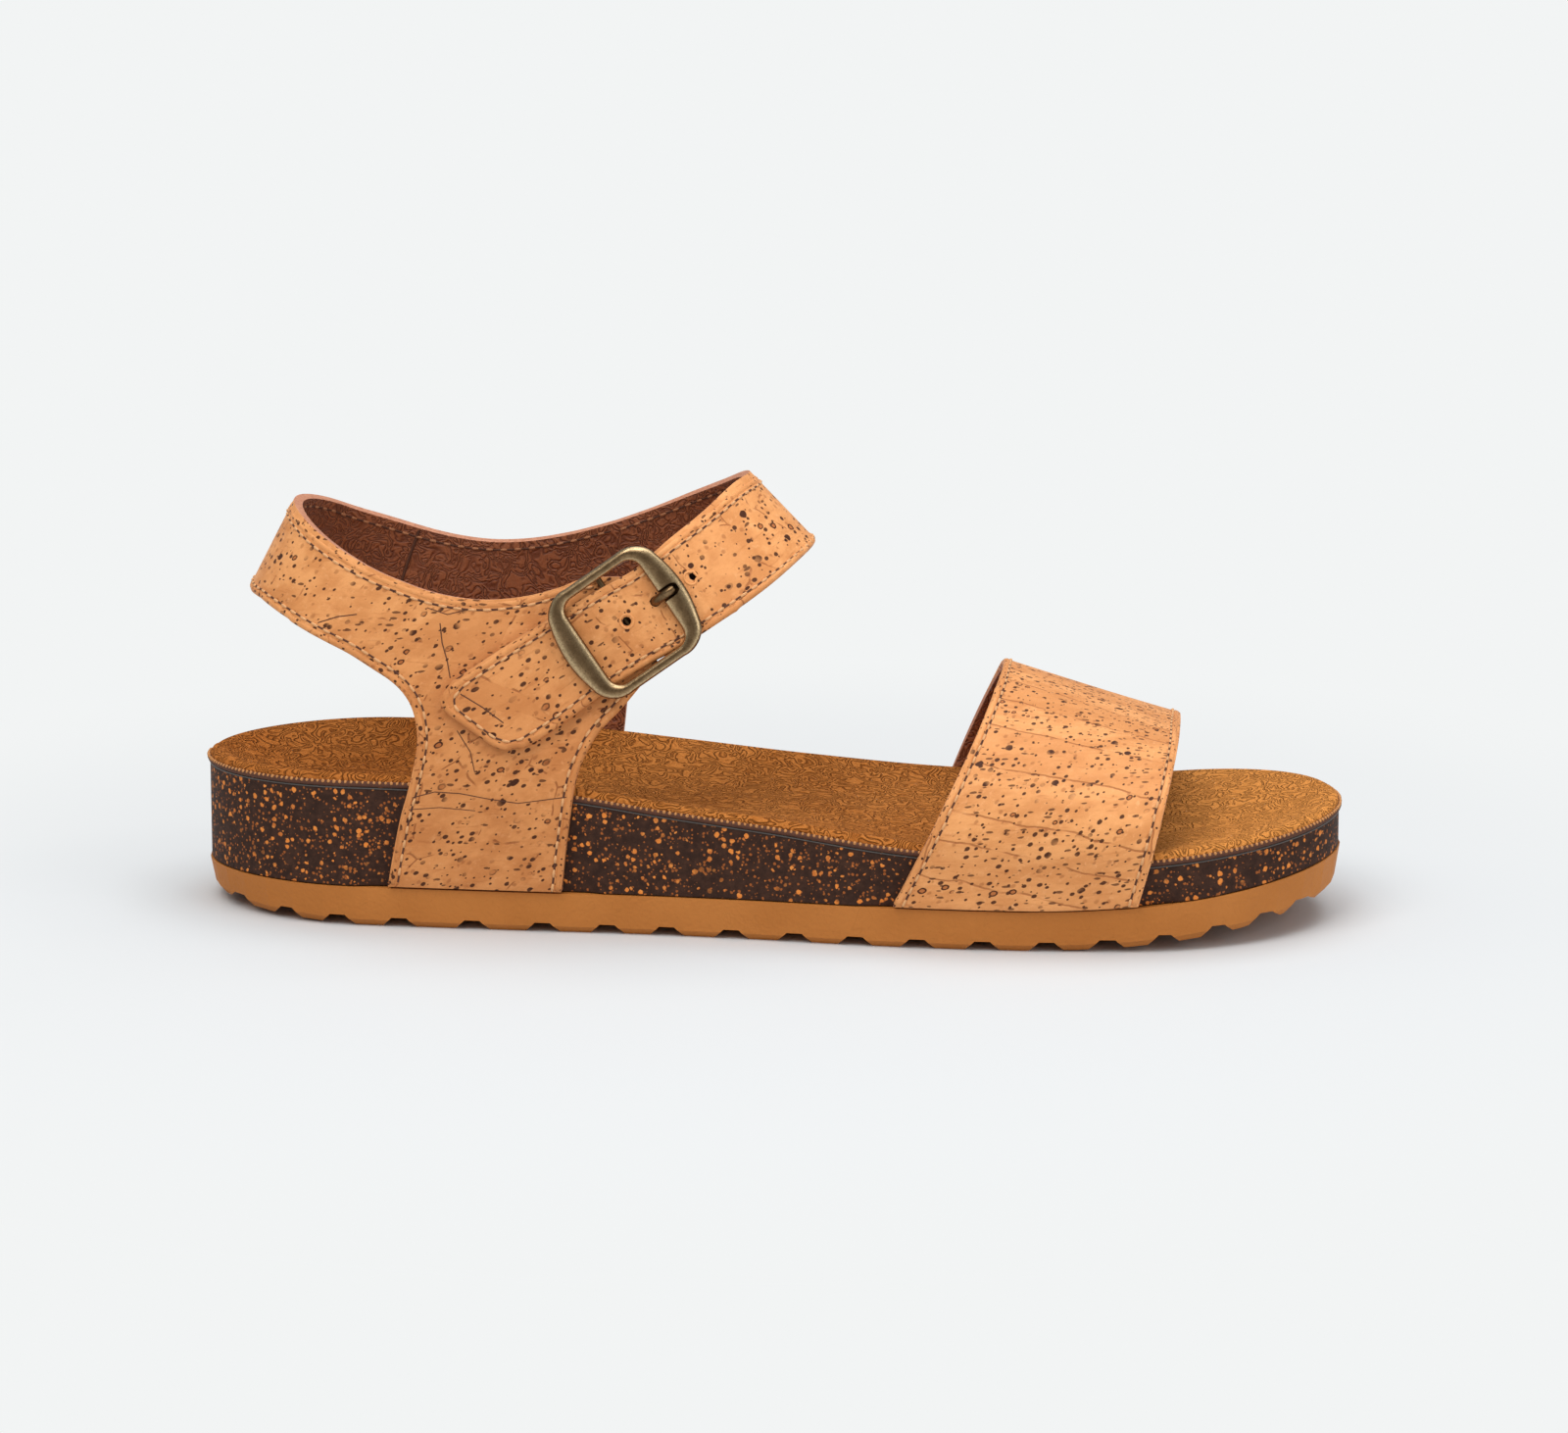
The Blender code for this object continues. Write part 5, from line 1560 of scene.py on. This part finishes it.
def brass_material():
    n = Nodes("antique_brass_patina_and_painted_highlight")
    space = n.coords(False)
    cloud = n.noise(space, 0.35, 4.0, 0.65)
    speck = n.noise(space, 2.6, 4.0, 0.75)
    colour = n.mix(n.ramp(cloud, 0.35, 0.65), (0.24, 0.15, 0.075), (0.13, 0.078, 0.037))
    colour = n.mix(n.ramp(speck, 0.5, 0.72, 0.0, 0.6), colour, (0.05, 0.03, 0.014))
    # Painted highlight: pale brass mixed onto the frame's shoulders by the share that build_buckle stores per
    # vertex; the clouds and dark specks are patina.
    painted_highlight_map = n.add("ShaderNodeUVMap", uv_map="polish")
    shine = n.times(n.axis(painted_highlight_map.outputs[0], 0), n.ramp(speck, 0.62, 0.42, 0.45, 0.95))
    colour = n.mix(shine, colour, (0.62, 0.46, 0.26))
    return n.finish(colour, n.ramp(cloud, 0.3, 0.7, 0.24, 0.36), speck, 0.12, 0.15, Metallic=1.0)


# Stage

def add_camera():
    """Camera at the photo's angle to the shoe."""
    back = Vector((
        math.sin(CAMERA_AZIMUTH) * math.cos(CAMERA_ELEVATION),
        -math.cos(CAMERA_AZIMUTH) * math.cos(CAMERA_ELEVATION),
        math.sin(CAMERA_ELEVATION),
    ))
    data = bpy.data.cameras.new("camera")
    data.sensor_width = SENSOR_WIDTH
    data.lens = SENSOR_WIDTH * PIXELS_PER_MM * CAMERA_DISTANCE / PHOTO_WIDTH
    data.clip_start = 0.05
    camera = link("camera", data)
    camera.location = world(*CAMERA_TARGET) + back * CAMERA_DISTANCE * MM
    camera.rotation_euler = back.to_track_quat("Z", "Y").to_euler()
    bpy.context.scene.camera = camera


def add_stage():
    """Pale seamless floor that fades into an even backdrop away from the shoe."""
    mesh = bpy.data.meshes.new("floor")
    size = 8.0
    corners = [(-size, -size, 0), (size, -size, 0), (size, size, 0), (-size, size, 0)]
    mesh.from_pydata(corners, [], [(0, 1, 2, 3)])
    floor = link("floor", mesh)
    n = Nodes("floor_paper")
    n.shader.inputs["Base Color"].default_value = (0.65, 0.67, 0.69, 1)
    n.shader.inputs["Roughness"].default_value = 0.9
    place = n.add("ShaderNodeTexCoord").outputs["Object"]
    glow = n.add("ShaderNodeEmission")
    glow.inputs["Color"].default_value = (*PAPER_COLOUR, 1)
    blend = n.add("ShaderNodeMixShader")
    squeezed = n.vector_math("MULTIPLY", place, (0.42, 1.0, 1.0)).outputs[0]
    beside = n.vector_math("LENGTH", squeezed).outputs["Value"]
    away = n.vector_math("LENGTH", place).outputs["Value"]
    near = n.ramp(beside, 0.05, 0.095, 0.0, 0.3)
    far = n.ramp(away, 0.12, 0.28, 0.0, 0.7)
    n.wire(n.plus(near, far), blend.inputs[0])
    n.wire(n.shader.outputs[0], blend.inputs[1])
    n.wire(glow.outputs[0], blend.inputs[2])
    n.wire(blend.outputs[0], n.tree.nodes["Material Output"].inputs["Surface"])
    mesh.materials.append(n.material)


def area_light(name, place, aim, size, power, colour=(1, 1, 1)):
    data = bpy.data.lights.new(name, "AREA")
    data.shape = "RECTANGLE"
    data.size, data.size_y = size
    data.energy = power
    data.color = colour
    light = link(name, data)
    light.location = place
    light.rotation_euler = (Vector(place) - Vector(aim)).to_track_quat("Z", "Y").to_euler()


def add_lights():
    area_light("key", (-0.4, -0.8, 1.1), (0, 0, 0.04), (0.8, 0.8), 8.5, (1.0, 0.98, 0.95))
    area_light("top", (0.15, 0.05, 1.3), (0, 0, 0), (1.5, 1.2), 13.0)
    area_light("fill", (1.0, -0.7, 0.5), (0, 0, 0.04), (0.8, 0.8), 3.5)
    studio = bpy.data.worlds.new("studio")
    studio.use_nodes = True
    background = studio.node_tree.nodes["Background"]
    background.inputs["Color"].default_value = (*PAPER_COLOUR, 1)
    background.inputs["Strength"].default_value = 0.42
    bpy.context.scene.world = studio
    bpy.context.scene.view_settings.view_transform = "Standard"


def main():
    cork = cork_material("cork_fabric_ankle", False)
    cork_band = cork_material("cork_fabric_band", True)
    lining, edge = lining_material(), edge_material()
    # Painted shade: near-black walls for the punched holes and the prong slot, standing for the shade inside
    # them.
    hole_painted_shade = grained_material("hole_wall_painted_shade", (0.04, 0.014, 0.008), (0.08, 0.028, 0.014), 1.5, 0.85, 0.3)
    thread = thread_material("linen_thread", (0.58, 0.27, 0.1), (0.76, 0.42, 0.19))
    lining_thread = thread_material("lining_thread", (0.26, 0.085, 0.03), (0.42, 0.17, 0.07))
    bead_thread = thread_material("edge_thread", (0.4, 0.15, 0.04), (0.62, 0.29, 0.09))
    shade = grained_material("stitch_shade", (0.11, 0.034, 0.013), (0.06, 0.018, 0.008), 2.0, 0.8, 0.3)
    grey = grained_material("midsole_line", (0.06, 0.05, 0.045), (0.1, 0.085, 0.075), 2.0, 0.5, 0.2)
    upper = build_ankle_upper([cork, lining, edge, hole_painted_shade])
    toe = build_toe_strap([cork_band, lining, edge, hole_painted_shade])
    add_stitching(upper, toe, thread, lining_thread, shade)
    build_midsole(midsole_material())
    build_footbed(suede_material())
    add_edge_beads(bead_thread, shade)
    add_top_line(grey)
    build_buckle(brass_material())
    outsole = frame["nodes"]["outsole"]
    rubber = outsole_material()
    for slot in outsole.material_slots:
        slot.material = rubber
    soften(outsole, "soft_edges", 30, OUTSOLE_EDGE_ROUND)
    add_camera()
    add_stage()
    add_lights()


main()
